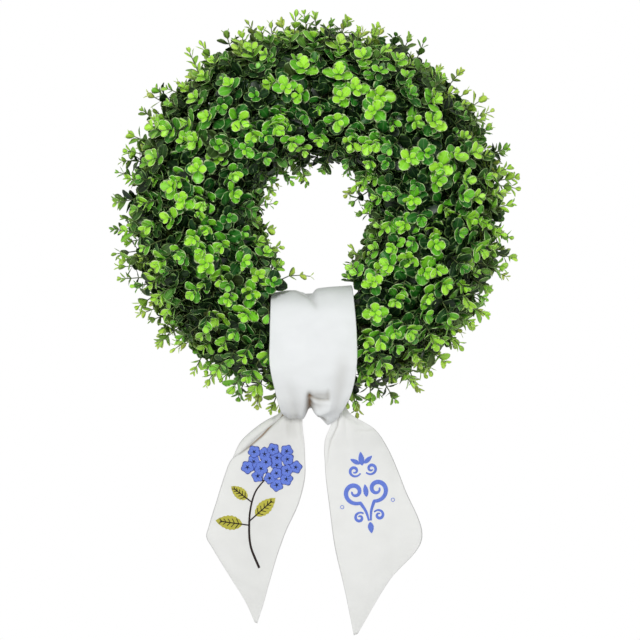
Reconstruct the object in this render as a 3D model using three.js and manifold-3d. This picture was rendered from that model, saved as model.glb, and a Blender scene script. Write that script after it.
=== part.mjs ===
// A boxwood wreath with a cloth sash: bunches of leafy sprigs on a ring of twisted vines, and one long
// sash wrapped round the bottom of the wreath, with both tails hanging below it.
//
// Millimetres, +Z up, the front faces -Y. The origin is where a door hook bears on the underside of the
// vine ring, at its top. Angles round the wreath are counted from +X towards +Z, seen from the front.
// Angles round the ring's own section are 0 outward, 90 to the front and 180 into the hole.

import * as THREE from 'three';
import { mergeVertices } from 'three/addons/utils/BufferGeometryUtils.js';
import Module from 'manifold-3d';

const wasm = await Module();
wasm.setup();

const DEGREE = Math.PI / 180;

// Driving dimensions
const RING_RADIUS = 165; // centre line of the vine ring
const VINE_CREST = 22; // from that centre line out to the crests of the twisted vines
const VINE_VALLEY = 18.5;
const VINE_COUNT = 4;
const VINE_TURNS = 2; // turns of the twist in one lap of the ring
const RING_STEPS = 36; // facets round the wreath, for the ring and for what hugs it

const SEAT_GAP = 0.4; // between pieces that are pressed together
const CORE_OUTWARD = 66; // reach of the packed inner stems from the ring's centre line
const CORE_FRONT = 58;
const CORE_INWARD = 50;
const CORE_BACK = 20; // the packed stems end in a flat back, this far behind the plane of the ring
const CORE_SIDES = 7;
const CHANNEL_ANGLE = 60 * DEGREE; // they grip the ring this far past its sides
const CHANNEL_SIDES = 5;

const TIP_OUTWARD = 125; // reach of the sprigs' tips from the ring's centre line
const TIP_FRONT = 102;
const TIP_INWARD = 84;
const HOLE_RISE = 14; // the hole sits low in the wreath: sprigs above it are longer, those below shorter
const LONG_LEAFY = 42; // leafy length of the sprigs round the outside and in the hole
const FIRST_PAIR_RISE = 12; // of the other sprigs' lowest leaves over the packed stems

const SASH_LEFT = -71; // edges of the sash where it crosses the front of the wreath
const SASH_RIGHT = 60;
const SASH_SIDE_GAP = 5; // from its edges to the bunches beside it
const SASH_THICK = 2;
const SASH_SLACK = 1.6; // between the cloth and the packed stems under it
const SASH_BACK = VINE_CREST + SEAT_GAP + SASH_THICK / 2; // it lies on the back of the vine ring

const CENTRE_Z = VINE_CREST - RING_RADIUS; // height of the wreath's centre
const FAR = 420; // beyond everything
const WALL_Y = 27; // the door that the wreath hangs on; leaves behind this are pressed flat

// Materials
const leafMaterial = new THREE.MeshStandardMaterial({ color: 0x3f7a24, roughness: 0.45, metalness: 0 });
const vineMaterial = new THREE.MeshStandardMaterial({ color: 0x4a3423, roughness: 0.85, metalness: 0 });
const sashMaterial = new THREE.MeshStandardMaterial({ color: 0xeceae4, roughness: 0.9, metalness: 0 });

// A closed three.js geometry as a solid that can be joined and cut.
function solidOf(geometry) {
  const bare = geometry.clone();
  bare.deleteAttribute('normal');
  bare.deleteAttribute('uv');
  const merged = mergeVertices(bare, 1e-4);
  return new wasm.Manifold(
    new wasm.Mesh({
      numProp: 3,
      vertProperties: new Float32Array(merged.attributes.position.array),
      triVerts: new Uint32Array(merged.index.array),
    }),
  );
}

// The largest body of a solid, without the scraps that cutting leaves and with sealed hollows filled.
function mainBody(solid) {
  const bodies = solid.decompose();
  return bodies.reduce((best, body) => (body.volume() > best.volume() ? body : best));
}

function meshOf(name, solid, material) {
  const made = solid.getMesh();
  const positions = new Float32Array(made.numVert * 3);
  for (let i = 0; i < made.numVert; i++) {
    positions.set(made.vertProperties.subarray(i * made.numProp, i * made.numProp + 3), i * 3);
  }
  const geometry = new THREE.BufferGeometry();
  geometry.setAttribute('position', new THREE.BufferAttribute(positions, 3));
  geometry.setIndex(new THREE.BufferAttribute(new Uint32Array(made.triVerts), 1));
  geometry.computeVertexNormals();
  const mesh = new THREE.Mesh(geometry, material);
  mesh.name = name;
  return mesh;
}

// Moves every vertex of a geometry by a function from point to point.
function deform(geometry, move) {
  const positions = geometry.attributes.position;
  const point = new THREE.Vector3();
  for (let i = 0; i < positions.count; i++) {
    point.fromBufferAttribute(positions, i);
    const moved = move(point);
    positions.setXYZ(i, moved.x, moved.y, moved.z);
  }
  return geometry;
}

// A repeatable draw from 0 to 1 for sprig number n; k picks which of its draws.
function draw(n, k) {
  const s = Math.sin(n * 12.9898 + k * 78.233) * 43758.5453;
  return s - Math.floor(s);
}

// The point at an angle round the wreath, an angle round the ring's section and a reach from its centre line.
function wreathPoint(around, section, reach) {
  const radius = RING_RADIUS + reach * Math.cos(section);
  return new THREE.Vector3(
    radius * Math.cos(around),
    -reach * Math.sin(section),
    CENTRE_Z + radius * Math.sin(around),
  );
}

// Vine ring: one body, with the crests and valleys of the twisted vines as relief.
function vineRing() {
  const torus = new THREE.TorusGeometry(RING_RADIUS, 1, 2 * VINE_COUNT, RING_STEPS);
  return solidOf(
    deform(torus, (p) => {
      const around = Math.atan2(p.y, p.x);
      const outward = Math.hypot(p.x, p.y) - RING_RADIUS;
      const section = Math.atan2(-p.z, outward);
      const index = Math.round((section / Math.PI) * VINE_COUNT);
      const reach = index % 2 === 0 ? VINE_CREST : VINE_VALLEY;
      return wreathPoint(around, -section - around * VINE_TURNS, reach);
    }),
  );
}

// Packed stems: a band with a C-shaped section that grips the ring and leaves its back bare.
function stemBand() {
  const profile = [];
  const addArc = (from, to, sides, reachAt) => {
    for (let i = 0; i <= sides; i++) {
      const section = from + ((to - from) * i) / sides;
      const [outward, front] = reachAt(section);
      profile.push(new THREE.Vector2(RING_RADIUS + outward * Math.cos(section), -front * Math.sin(section)));
    }
  };
  const back = Math.asin(CORE_BACK / CORE_FRONT);
  addArc(-back, Math.PI + back, CORE_SIDES, (section) => [
    Math.cos(section) > 0 ? CORE_OUTWARD : CORE_INWARD,
    CORE_FRONT,
  ]);
  const halfSide = (Math.PI / 2 + CHANNEL_ANGLE) / CHANNEL_SIDES;
  const reach = (VINE_CREST + SEAT_GAP) / Math.cos(halfSide);
  addArc(Math.PI + CHANNEL_ANGLE, -CHANNEL_ANGLE, CHANNEL_SIDES, () => [reach, reach]);
  profile.push(profile[0].clone());
  const lathe = new THREE.LatheGeometry(profile.reverse(), RING_STEPS);
  lathe.translate(0, 0, CENTRE_Z);
  return solidOf(lathe);
}

// Reach of the packed stems' surface at an angle round the ring's section.
function coreReach(section) {
  const across = Math.cos(section) > 0 ? CORE_OUTWARD : CORE_INWARD;
  return 1 / Math.hypot(Math.cos(section) / across, Math.sin(section) / CORE_FRONT);
}

// Outline of half a pair of opposite leaves: tip, shoulder, notch and the other leaf's shoulder.
const LEAF_SHOULDER = 0.42;
const PAIR_PLACES = [
  { angle: 0, share: 1 },
  { angle: LEAF_SHOULDER, share: 0.84 },
  { angle: Math.PI / 2, share: 0.12 },
  { angle: Math.PI - LEAF_SHOULDER, share: 0.84 },
];
const PLACES_ROUND = 2 * PAIR_PLACES.length;
const LEAF_THICK = 2.4;
const ROOT_DEPTH = 12; // of a sprig's foot in the packed stems
const STEM_RADIUS = 2.8;

// Kinds of sprig: where the first pair of leaves stands, and each pair's share of the way to the tip.
const LONG_SPRIG = {
  firstPair: (core, tip) => tip - LONG_LEAFY,
  bareStem: true,
  pairs: [
    { at: 0, length: 33, lift: 0.32 },
    { at: 0.5, length: 26, lift: 0.5 },
    { at: 0.9, length: 15, lift: 0.9 },
  ],
};
const LOW_SPRIG = {
  firstPair: (core) => core + FIRST_PAIR_RISE,
  bareStem: false,
  pairs: [
    { at: 0, length: 36, lift: 0.25 },
    { at: 0.55, length: 27, lift: 0.55 },
  ],
};

// Rings of a sprig's body from its root to its tip: { z, radius, lift, leafy, turned }.
function sprigRings({ kind, size }, core, tip) {
  const first = kind.firstPair(core, tip);
  const bare = (z, radius) => ({ z, radius, lift: 0, leafy: false, turned: false });
  const rings = [bare(core - ROOT_DEPTH, 0)];
  if (kind.bareStem) {
    rings.push(bare(first - LEAF_THICK / 2, STEM_RADIUS));
  }
  kind.pairs.forEach(({ at, length, lift }, k) => {
    const z = first + at * (tip - first);
    rings.push({ z, radius: length * size, lift, leafy: true, turned: k % 2 === 1 });
    rings.push(bare(z + LEAF_THICK, k === kind.pairs.length - 1 ? 0 : STEM_RADIUS));
  });
  return rings;
}

// A leafy sprig as one body: a thin stem with crossed pairs of leaves, younger and steeper at the tip.
function sprigSolid(one) {
  const { around, section, reach, spin } = one;
  const rings = sprigRings(one, coreReach(section), reach);
  const last = rings.length - 1;
  const body = new THREE.SphereGeometry(1, PLACES_ROUND, last);
  deform(body, (p) => {
    const { z, radius, lift, leafy, turned } = rings[last - Math.round((Math.acos(p.y) / Math.PI) * last)];
    const step = Math.round((Math.atan2(p.x, p.z) / (2 * Math.PI) + 1) * PLACES_ROUND) % PLACES_ROUND;
    const place = step + (turned ? 2 : 0);
    const half = Math.floor(place / PAIR_PLACES.length);
    const { angle, share } = PAIR_PLACES[place % PAIR_PLACES.length];
    const leafTurn = half * Math.PI + angle - (turned ? Math.PI / 2 : 0);
    const turn = spin + (leafy ? leafTurn : (step * 2 * Math.PI) / PLACES_ROUND);
    const reached = radius * (leafy ? share : 1);
    return new THREE.Vector3(reached * Math.cos(turn), reached * Math.sin(turn), z + reached * lift);
  });
  const foot = wreathPoint(around, section, 0);
  const outward = wreathPoint(around, section, 1).sub(foot);
  const along = new THREE.Vector3(-Math.sin(around), 0, Math.cos(around));
  const across = along.clone().cross(outward);
  const place = new THREE.Matrix4().makeBasis(across, along, outward).setPosition(foot);
  return solidOf(body.applyMatrix4(place));
}

// Sprigs of one bunch: the angle round the section, the place across the bunch from -1 to 1, and the size.
const BUNCH_PATTERN = [
  { section: -4, across: -0.5, size: 1, kind: LONG_SPRIG },
  { section: -4, across: 0.5, size: 1, kind: LONG_SPRIG },
  { section: 30, across: 0, size: 1, kind: LONG_SPRIG },
  { section: 60, across: 0.35, size: 1.05, kind: LOW_SPRIG },
  { section: 78, across: -0.4, size: 1.05, kind: LOW_SPRIG },
  { section: 108, across: 0.25, size: 0.95, kind: LOW_SPRIG },
  { section: 142, across: -0.2, size: 0.78, kind: LOW_SPRIG },
  { section: 178, across: 0, size: 0.72, kind: LONG_SPRIG },
];

function tipReach(around, section) {
  const inward = TIP_INWARD + HOLE_RISE * Math.sin(around);
  const front = Math.max(0, Math.sin(section));
  const side = Math.cos(section) > 0 ? TIP_OUTWARD : inward;
  return side + (TIP_FRONT - side) * front ** 2;
}

// How far each sprig strays from its place: full spreads, in the units of what they vary.
const STRAY = { across: 0.16, section: 12, reach: 0.14, spin: 0.9, size: 0.12 };

// Sprig number n of the bunch whose middle is at an angle round the wreath: angles, reach, spin, size, kind.
function placedSprig(entry, middle, mirror, n) {
  const stray = (k, spread) => spread * (draw(n, k) - 0.5);
  const across = mirror * entry.across + stray(1, STRAY.across);
  const around = middle + across * (SECTOR_ANGLE / 2);
  const section = (entry.section + stray(2, STRAY.section)) * DEGREE;
  return {
    around,
    section,
    reach: tipReach(around, section) * (1 + stray(3, STRAY.reach)),
    spin: stray(4, STRAY.spin),
    size: entry.size * (1 + stray(5, STRAY.size)),
    kind: entry.kind,
  };
}

// A prism forward from the door, from its outline seen from the front: [x, z above the wreath's centre].
function prism(outline) {
  const shape = new THREE.Shape(outline.map(([x, z]) => new THREE.Vector2(x, z)));
  const block = new THREE.ExtrudeGeometry(shape, { depth: FAR, bevelEnabled: false });
  block.rotateX(Math.PI / 2);
  block.translate(0, WALL_Y, CENTRE_Z);
  return solidOf(block);
}

const SLAB_LEFT = SASH_LEFT - SASH_SIDE_GAP;
const SLAB_RIGHT = SASH_RIGHT + SASH_SIDE_GAP;

function slab(grow) {
  const left = SLAB_LEFT - grow;
  const right = SLAB_RIGHT + grow;
  return prism([
    [left, -FAR],
    [right, -FAR],
    [right, 0],
    [left, 0],
  ]);
}

// A sector of the wreath between two angles, a hair narrower than its share.
function sector(from, to) {
  const middle = (from + to) / 2;
  const inset = SEAT_GAP / 2 / Math.sin((to - from) / 2);
  const at = (angle, radius) => [
    inset * Math.cos(middle) + radius * Math.cos(angle),
    inset * Math.sin(middle) + radius * Math.sin(angle),
  ];
  return prism([[inset * Math.cos(middle), inset * Math.sin(middle)], at(from, FAR), at(to, FAR)]);
}

// Sash: ribbons between a left and a right edge line, with a crowned middle.
// A station is [x left, x right, y, z above the wreath's centre, crown].
const LOOP_STATIONS = [
  [-34, 18, 3, -296, 0],
  [-41, 26, -11, -314, 3],
  [-48, 32, -34, -322, 6],
  [-54, 39, -57, -306, 8],
  [-63, 53, -78, -272, 9],
  [SASH_LEFT, SASH_RIGHT, -88, -232, 9],
  [SASH_LEFT, SASH_RIGHT, -88, -188, 8],
  [-70, 57, -77, -147, 7],
  [-68, 53, -46, -121, 6],
  [-66, 52, -10, -119, 5],
  [-65, 52, 14, -125, 3],
  [-65, 52, SASH_BACK - 1, -146, 0],
  [-64, 52, SASH_BACK, -165, 0],
  [-64, 52, SASH_BACK, -190, 0],
  [-62, 50, SASH_BACK, -232, 0],
  [-56, 42, 22, -276, 0],
  [-42, 26, 14, -312, 0],
];

// Tail stations: [x left, y left, z left, x right, y right, z right], heights above the wreath's centre.
const LEFT_TAIL = [
  [-50, 6, -292, -22, 4, -296],
  [-56, 4, -312, -22, -2, -318],
  [-86, 8, -337, -19, -8, -350],
  [-117, 6, -366, -18, -11, -396],
  [-141, 0, -426, -28, -12, -444],
  [-166, -6, -492, -53, -8, -503],
  [-134, -6, -557, -76, -6, -576],
  [-97, -4, -623, -88, -4, -627],
];

const RIGHT_TAIL = [
  [10, 4, -292, 36, 6, -292],
  [22, -2, -316, 50, 4, -308],
  [12, -8, -348, 88, 6, -332],
  [13, -12, -398, 108, 4, -366],
  [19, -12, -450, 134, 0, -422],
  [27, -9, -510, 160, -4, -498],
  [42, -6, -575, 110, -6, -562],
  [56, -4, -645, 62, -4, -643],
];

const TAIL_CROWN = 6; // how far the tails' middles stand in front of their edges
const RIBBON_STEPS = { loopAcross: 3, loopAlong: 28, tailAcross: 2, tailAlong: 13 };
const KNOT = { halfWidth: 32, halfDepth: 9, halfHeight: 11, x: -6, y: 6, z: -304 };

const smoothLine = (points) => new THREE.CatmullRomCurve3(points, false, 'centripetal');

function ribbon(leftPoints, rightPoints, crownAt, stepsAcross, stepsAlong) {
  const left = smoothLine(leftPoints);
  const right = smoothLine(rightPoints);
  const middle = (v) => left.getPoint(v).lerp(right.getPoint(v), 0.5);
  const nudge = 0.004;
  const box = new THREE.BoxGeometry(1, 1, 1, stepsAcross, stepsAlong, 1);
  return solidOf(
    deform(box, (p) => {
      const across = p.x + 0.5;
      const along = THREE.MathUtils.clamp(p.y + 0.5, 0, 1);
      const a = left.getPoint(along);
      const b = right.getPoint(along);
      const forward = middle(Math.min(1, along + nudge)).sub(middle(Math.max(0, along - nudge)));
      const normal = b.clone().sub(a).cross(forward).normalize();
      const height = crownAt(along) * 4 * across * (1 - across) + p.z * SASH_THICK;
      return a.lerp(b, across).addScaledVector(normal, height);
    }),
  );
}

function loopRibbon() {
  const point = (x, y, z) => new THREE.Vector3(x, y, CENTRE_Z + z);
  const left = LOOP_STATIONS.map(([x, , y, z]) => point(x, y, z));
  const right = LOOP_STATIONS.map(([, x, y, z]) => point(x, y, z));
  const crowns = LOOP_STATIONS.map((station) => station[4]);
  const crownAt = (v) => {
    const place = v * (crowns.length - 1);
    const low = Math.min(Math.floor(place), crowns.length - 2);
    return THREE.MathUtils.lerp(crowns[low], crowns[low + 1], place - low);
  };
  return ribbon(left, right, crownAt, RIBBON_STEPS.loopAcross, RIBBON_STEPS.loopAlong);
}

function tailRibbon(stations) {
  const left = stations.map(([x, y, z]) => new THREE.Vector3(x, y, CENTRE_Z + z));
  const right = stations.map((s) => new THREE.Vector3(s[3], s[4], CENTRE_Z + s[5]));
  const crownAt = (v) => -TAIL_CROWN * Math.sin(Math.PI * v);
  return ribbon(left, right, crownAt, RIBBON_STEPS.tailAcross, RIBBON_STEPS.tailAlong);
}

// The bunched cloth where front, back and tails are tied together behind the lobes.
function sashKnot() {
  const gathered = new THREE.SphereGeometry(1, 8, 6);
  gathered.scale(KNOT.halfWidth, KNOT.halfDepth, KNOT.halfHeight);
  gathered.translate(KNOT.x, KNOT.y, CENTRE_Z + KNOT.z);
  return solidOf(gathered);
}

function sash() {
  return mainBody(
    wasm.Manifold.union([loopRibbon(), sashKnot(), tailRibbon(LEFT_TAIL), tailRibbon(RIGHT_TAIL)]),
  );
}

// The room inside the wrapped sash, which the leaves under it are pressed into.
function insideSash() {
  const line = LOOP_STATIONS.slice(2, -1).map(([, , y, z]) => new THREE.Vector2(y, z));
  const middle = new THREE.Vector2(-35, -210);
  const shrunk = line.map((p) => {
    const inward = middle.clone().sub(p).normalize();
    return p.clone().addScaledVector(inward, SASH_THICK / 2 + SASH_SLACK);
  });
  const width = SLAB_RIGHT - SLAB_LEFT;
  const block = new THREE.ExtrudeGeometry(new THREE.Shape(shrunk), { depth: width, bevelEnabled: false });
  // The outline was drawn as (y, z); stand it up and run it along X.
  block.applyMatrix4(new THREE.Matrix4().set(0, 0, 1, SLAB_LEFT, 1, 0, 0, 0, 0, 1, 0, CENTRE_Z, 0, 0, 0, 1));
  return solidOf(block);
}

// Bunches: the wreath outside the sash in equal sectors, and the pressed bunch under the sash.
const SECTORS = 14;
const FIRST_ANGLE = Math.asin(SLAB_RIGHT / RING_RADIUS) - Math.PI / 2;
const LAST_ANGLE = (3 * Math.PI) / 2 - Math.asin(-SLAB_LEFT / RING_RADIUS);
const SECTOR_ANGLE = (LAST_ANGLE - FIRST_ANGLE) / SECTORS;
const SIMPLIFY = 0.05; // edges shorter than this are closed up
const DRAWS_A_BUNCH = 16; // sprig numbers kept for each bunch

// The corners that the sectors leave open beside the sash, and the leaves pressed under it.
const BESIDE_SASH = [
  { section: -4, across: -1.35, size: 1, kind: LONG_SPRIG },
  { section: 30, across: -1.2, size: 1, kind: LONG_SPRIG },
];
const UNDER_SASH = [
  { section: 0, across: -0.35, size: 1, kind: LONG_SPRIG },
  { section: 0, across: 0.5, size: 1, kind: LONG_SPRIG },
];

function bunch(number, middle, pattern, region) {
  const mirror = number % 2 === 0 ? 1 : -1;
  const sprigs = pattern.map((entry, k) =>
    sprigSolid(placedSprig(entry, middle, mirror, number * DRAWS_A_BUNCH + k)),
  );
  const whole = wasm.Manifold.union([stemBand(), ...sprigs]).intersect(region);
  return mainBody(whole.simplify(SIMPLIFY));
}

function bunches() {
  const found = [];
  for (let i = 0; i < SECTORS; i++) {
    const first = i === 0;
    const last = i === SECTORS - 1;
    const from = first ? -Math.PI / 2 : FIRST_ANGLE + i * SECTOR_ANGLE;
    const to = last ? (3 * Math.PI) / 2 : FIRST_ANGLE + (i + 1) * SECTOR_ANGLE;
    const region = sector(from, to).subtract(slab(SEAT_GAP));
    const pattern = first || last ? [...BUNCH_PATTERN, ...BESIDE_SASH] : BUNCH_PATTERN;
    found.push(bunch(i, FIRST_ANGLE + (i + 0.5) * SECTOR_ANGLE, pattern, region));
  }
  found.push(bunch(SECTORS, -Math.PI / 2, UNDER_SASH, slab(0).intersect(insideSash())));
  return found;
}

const wreath = new THREE.Group();
wreath.add(meshOf('vine_ring', vineRing(), vineMaterial));
bunches().forEach((solid, i) => {
  const name = i < SECTORS ? `sprig_bunch_${String(i + 1).padStart(2, '0')}` : 'sprig_bunch_under_sash';
  wreath.add(meshOf(name, solid, leafMaterial));
});
wreath.add(meshOf('sash', sash(), sashMaterial));

export default wreath;
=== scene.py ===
# %% [markdown]
# # A boxwood wreath with an embroidered sash
# The real thing is a ring of twisted vines, covered all round with leafy sprigs, and a long cloth sash is
# wrapped round its bottom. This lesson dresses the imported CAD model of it. Every bunch of sprigs, the ring
# and the sash get a finer piece, which keeps the place and the form of the solid that it stands for.

import math

import bpy
import numpy as np
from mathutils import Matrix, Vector
from mathutils.bvhtree import BVHTree


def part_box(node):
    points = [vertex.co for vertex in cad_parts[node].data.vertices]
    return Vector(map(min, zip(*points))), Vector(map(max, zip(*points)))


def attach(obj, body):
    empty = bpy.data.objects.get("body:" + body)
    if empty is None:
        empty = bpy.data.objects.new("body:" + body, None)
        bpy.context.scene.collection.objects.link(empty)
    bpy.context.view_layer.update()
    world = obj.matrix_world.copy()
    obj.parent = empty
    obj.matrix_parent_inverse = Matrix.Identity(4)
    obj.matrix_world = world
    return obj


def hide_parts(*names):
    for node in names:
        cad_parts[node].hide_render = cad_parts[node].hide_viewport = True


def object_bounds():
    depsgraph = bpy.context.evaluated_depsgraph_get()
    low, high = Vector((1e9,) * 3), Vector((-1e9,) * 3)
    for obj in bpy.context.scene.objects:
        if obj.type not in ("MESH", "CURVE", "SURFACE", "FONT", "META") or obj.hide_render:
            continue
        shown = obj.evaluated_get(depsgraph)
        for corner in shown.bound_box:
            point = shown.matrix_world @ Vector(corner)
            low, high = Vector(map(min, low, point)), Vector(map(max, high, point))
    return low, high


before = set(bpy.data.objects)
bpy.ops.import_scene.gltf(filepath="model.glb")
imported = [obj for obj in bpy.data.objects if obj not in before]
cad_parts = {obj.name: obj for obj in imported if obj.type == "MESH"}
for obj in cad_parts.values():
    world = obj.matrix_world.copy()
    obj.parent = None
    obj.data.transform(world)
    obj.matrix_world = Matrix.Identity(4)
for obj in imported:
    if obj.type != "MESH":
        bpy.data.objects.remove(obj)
cad_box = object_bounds()
print("CAD box", [tuple(round(c, 3) for c in corner) for corner in cad_box])

# %% [markdown]
# ## Where things are
# The frame is in metres, but leaves and threads are easier to think of in millimetres, so the formulas
# below are in millimetres and meshes are scaled when they are made. The ring's own box gives the wreath's
# centre and radius: nothing has to be measured by eye.

# %% The ring's sizes, from its box
MM = 0.001

ring_low, ring_high = (np.array(corner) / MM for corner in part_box("vine_ring"))
VINE_CREST = (ring_high[1] - ring_low[1]) / 2
RING_RADIUS = (ring_high[0] - ring_low[0]) / 2 - VINE_CREST
CENTRE_Z = (ring_low[2] + ring_high[2]) / 2
print(f"ring radius {RING_RADIUS:.1f} mm, crest {VINE_CREST:.1f} mm, centre at z {CENTRE_Z:.1f} mm")

# %% A point on the wreath
DEGREE = math.pi / 180


def wreath_point(around, section, reach):
    """The point at an angle round the wreath, an angle round its section and a reach from its centre line."""
    radius = RING_RADIUS + reach * np.cos(section)
    return np.stack(
        [radius * np.cos(around), -reach * np.sin(section), CENTRE_Z + radius * np.sin(around)], axis=-1
    )


# %% [markdown]
# ## Camera
# The camera looks straight at the wreath through a long lens from far away, so that the front leaves look
# hardly larger than the back ones, as in a catalogue picture. The lens follows from how far away the camera
# is and how much the picture takes in.

# %% Camera
PICTURE_WIDTH = 976 * MM  # what the picture takes in, at the plane of the ring
CAMERA_AWAY = 5.0
VIEW_X = 4.6 * MM  # the picture's middle, at the plane of the ring
VIEW_Z = -307.7 * MM

camera_data = bpy.data.cameras.new("camera")
camera_data.lens = camera_data.sensor_width * CAMERA_AWAY / PICTURE_WIDTH
camera = bpy.data.objects.new("camera", camera_data)
camera.location = (VIEW_X, -CAMERA_AWAY, VIEW_Z)
camera.rotation_euler = (90 * DEGREE, 0, 0)
bpy.context.scene.collection.objects.link(camera)
bpy.context.scene.camera = camera
print(f"lens {camera_data.lens:.0f} mm")

# %% [markdown]
# ## A short way to make materials
# A material is a tree of nodes. Written out, each node takes a line to add it and one for every socket, so
# these helpers add a node, fill its sockets and hand back its output, and a material then reads like a
# formula. A socket takes either a value or the output of another node.

# %% Helpers for shader nodes
def shader_node(tree, kind, inputs=None, **settings):
    """Adds a node. Inputs are sockets to link from, or values to set."""
    node = tree.nodes.new(kind)
    for name, value in settings.items():
        setattr(node, name, value)
    for socket, value in (inputs or {}).items():
        if isinstance(value, bpy.types.NodeSocket):
            tree.links.new(value, node.inputs[socket])
        else:
            node.inputs[socket].default_value = value
    return node


def new_material(name):
    material = bpy.data.materials.new(name)
    material.use_nodes = True
    return material, material.node_tree, material.node_tree.nodes["Principled BSDF"]


def object_place(tree):
    return shader_node(tree, "ShaderNodeTexCoord").outputs["Object"]


def noise_node(tree, place, scale, detail, **more):
    inputs = {"Vector": place, "Scale": scale, "Detail": detail, **more}
    return shader_node(tree, "ShaderNodeTexNoise", inputs).outputs["Fac"]


def range_node(tree, value, *limits):
    """Maps a value from the first two limits to the last two, or to 0 and 1."""
    low, high, to_low, to_high = limits if len(limits) == 4 else (*limits, 0.0, 1.0)
    inputs = {"Value": value, "From Min": low, "From Max": high, "To Min": to_low, "To Max": to_high}
    return shader_node(tree, "ShaderNodeMapRange", inputs).outputs["Result"]


def ramp_node(tree, value, stops):
    """A colour for each value, from stops of a position and a colour."""
    node = shader_node(tree, "ShaderNodeValToRGB", {"Fac": value})
    elements = node.color_ramp.elements
    while len(elements) < len(stops):
        elements.new(0.5)
    for element, (position, colour) in zip(elements, stops):
        element.position = position
        element.color = (*colour, 1)
    return node.outputs["Color"]


def add_relief(tree, shader, height, strength, depth):
    """Small ups and downs of the surface, of a depth in metres."""
    inputs = {"Height": height, "Strength": strength, "Distance": depth}
    bump = shader_node(tree, "ShaderNodeBump", inputs)
    tree.links.new(bump.outputs["Normal"], shader.inputs["Normal"])


# %% [markdown]
# ## The white studio
# In the picture the ground is pure white, and so the camera sees a white world. The leaves see a dimmer one,
# because a fully white world would wash out the shade between them. A lamp above the camera puts a small
# gloss on the leaves and shade under them, and a broad one lightens the other side. The floor lies below
# the tails, outside the picture.

# %% World and lamps
WORLD_LIGHT = 0.44  # how bright the world is to everything but the camera
LAMPS = {  # place and size in metres, power in watts
    "key_lamp": ((-0.6, -2.8, 0.8), 0.9, 40),
    "fill_lamp": ((0.9, -2.6, -0.6), 2.0, 19),
}
bpy.context.scene.view_settings.view_transform = "Standard"  # whites stay white, as in the picture
world = bpy.data.worlds.new("studio")
bpy.context.scene.world = world
world.use_nodes = True
sky = world.node_tree.nodes["Background"]
sky.inputs["Color"].default_value = (1, 1, 1, 1)
seen = shader_node(world.node_tree, "ShaderNodeLightPath").outputs["Is Camera Ray"]
strength = range_node(world.node_tree, seen, 0.0, 1.0, WORLD_LIGHT, 1.0)
world.node_tree.links.new(strength, sky.inputs["Strength"])


def soft_lamp(name, place, size, power):
    """A square lamp that faces the middle of the wreath."""
    data = bpy.data.lights.new(name, "AREA")
    data.size = size
    data.energy = power
    lamp = bpy.data.objects.new(name, data)
    lamp.location = place
    aim = Vector((0, 0, CENTRE_Z * MM)) - Vector(place)
    lamp.rotation_euler = aim.to_track_quat("-Z", "Y").to_euler()
    bpy.context.scene.collection.objects.link(lamp)


for lamp_name, lamp_values in LAMPS.items():
    soft_lamp(lamp_name, *lamp_values)
print(f"{len(LAMPS)} lamps")

# %% Floor
FLOOR_TONES = [(0.0, (0.88, 0.88, 0.87)), (1.0, (0.92, 0.92, 0.91))]
FLOOR_DROP = 0.03  # below the lowest point
FLOOR_REACH = 4  # to each side and to the front
FLOOR_BACK = 0.2  # it ends behind the wreath, so the camera looks over it at the white world

floor_material, floor_tree, floor_shader = new_material("pale_floor")
floor_shader.inputs["Roughness"].default_value = 0.9
floor_grain = shader_node(floor_tree, "ShaderNodeTexNoise", {"Scale": 3.0}).outputs["Fac"]
floor_tree.links.new(ramp_node(floor_tree, floor_grain, FLOOR_TONES), floor_shader.inputs["Base Color"])

floor_z = cad_box[0].z - FLOOR_DROP
floor_corners = [
    (-FLOOR_REACH, -FLOOR_REACH, floor_z),
    (FLOOR_REACH, -FLOOR_REACH, floor_z),
    (FLOOR_REACH, FLOOR_BACK, floor_z),
    (-FLOOR_REACH, FLOOR_BACK, floor_z),
]
floor_mesh = bpy.data.meshes.new("floor")
floor_mesh.from_pydata(floor_corners, [], [(0, 1, 2, 3)])
floor_mesh.materials.append(floor_material)
floor = bpy.data.objects.new("floor", floor_mesh)
bpy.context.scene.collection.objects.link(floor)
print(f"floor at z {floor_z:.3f} m")

# %% [markdown]
# ## Growing meshes
# A wreath has thousands of leaves. Making each with operators would be slow, so every piece here is one
# growing list of points and faces, worked out with numpy, that becomes a mesh at the end. Values that the
# materials need, such as a leaf's age, are kept with each point as mesh attributes.

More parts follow.
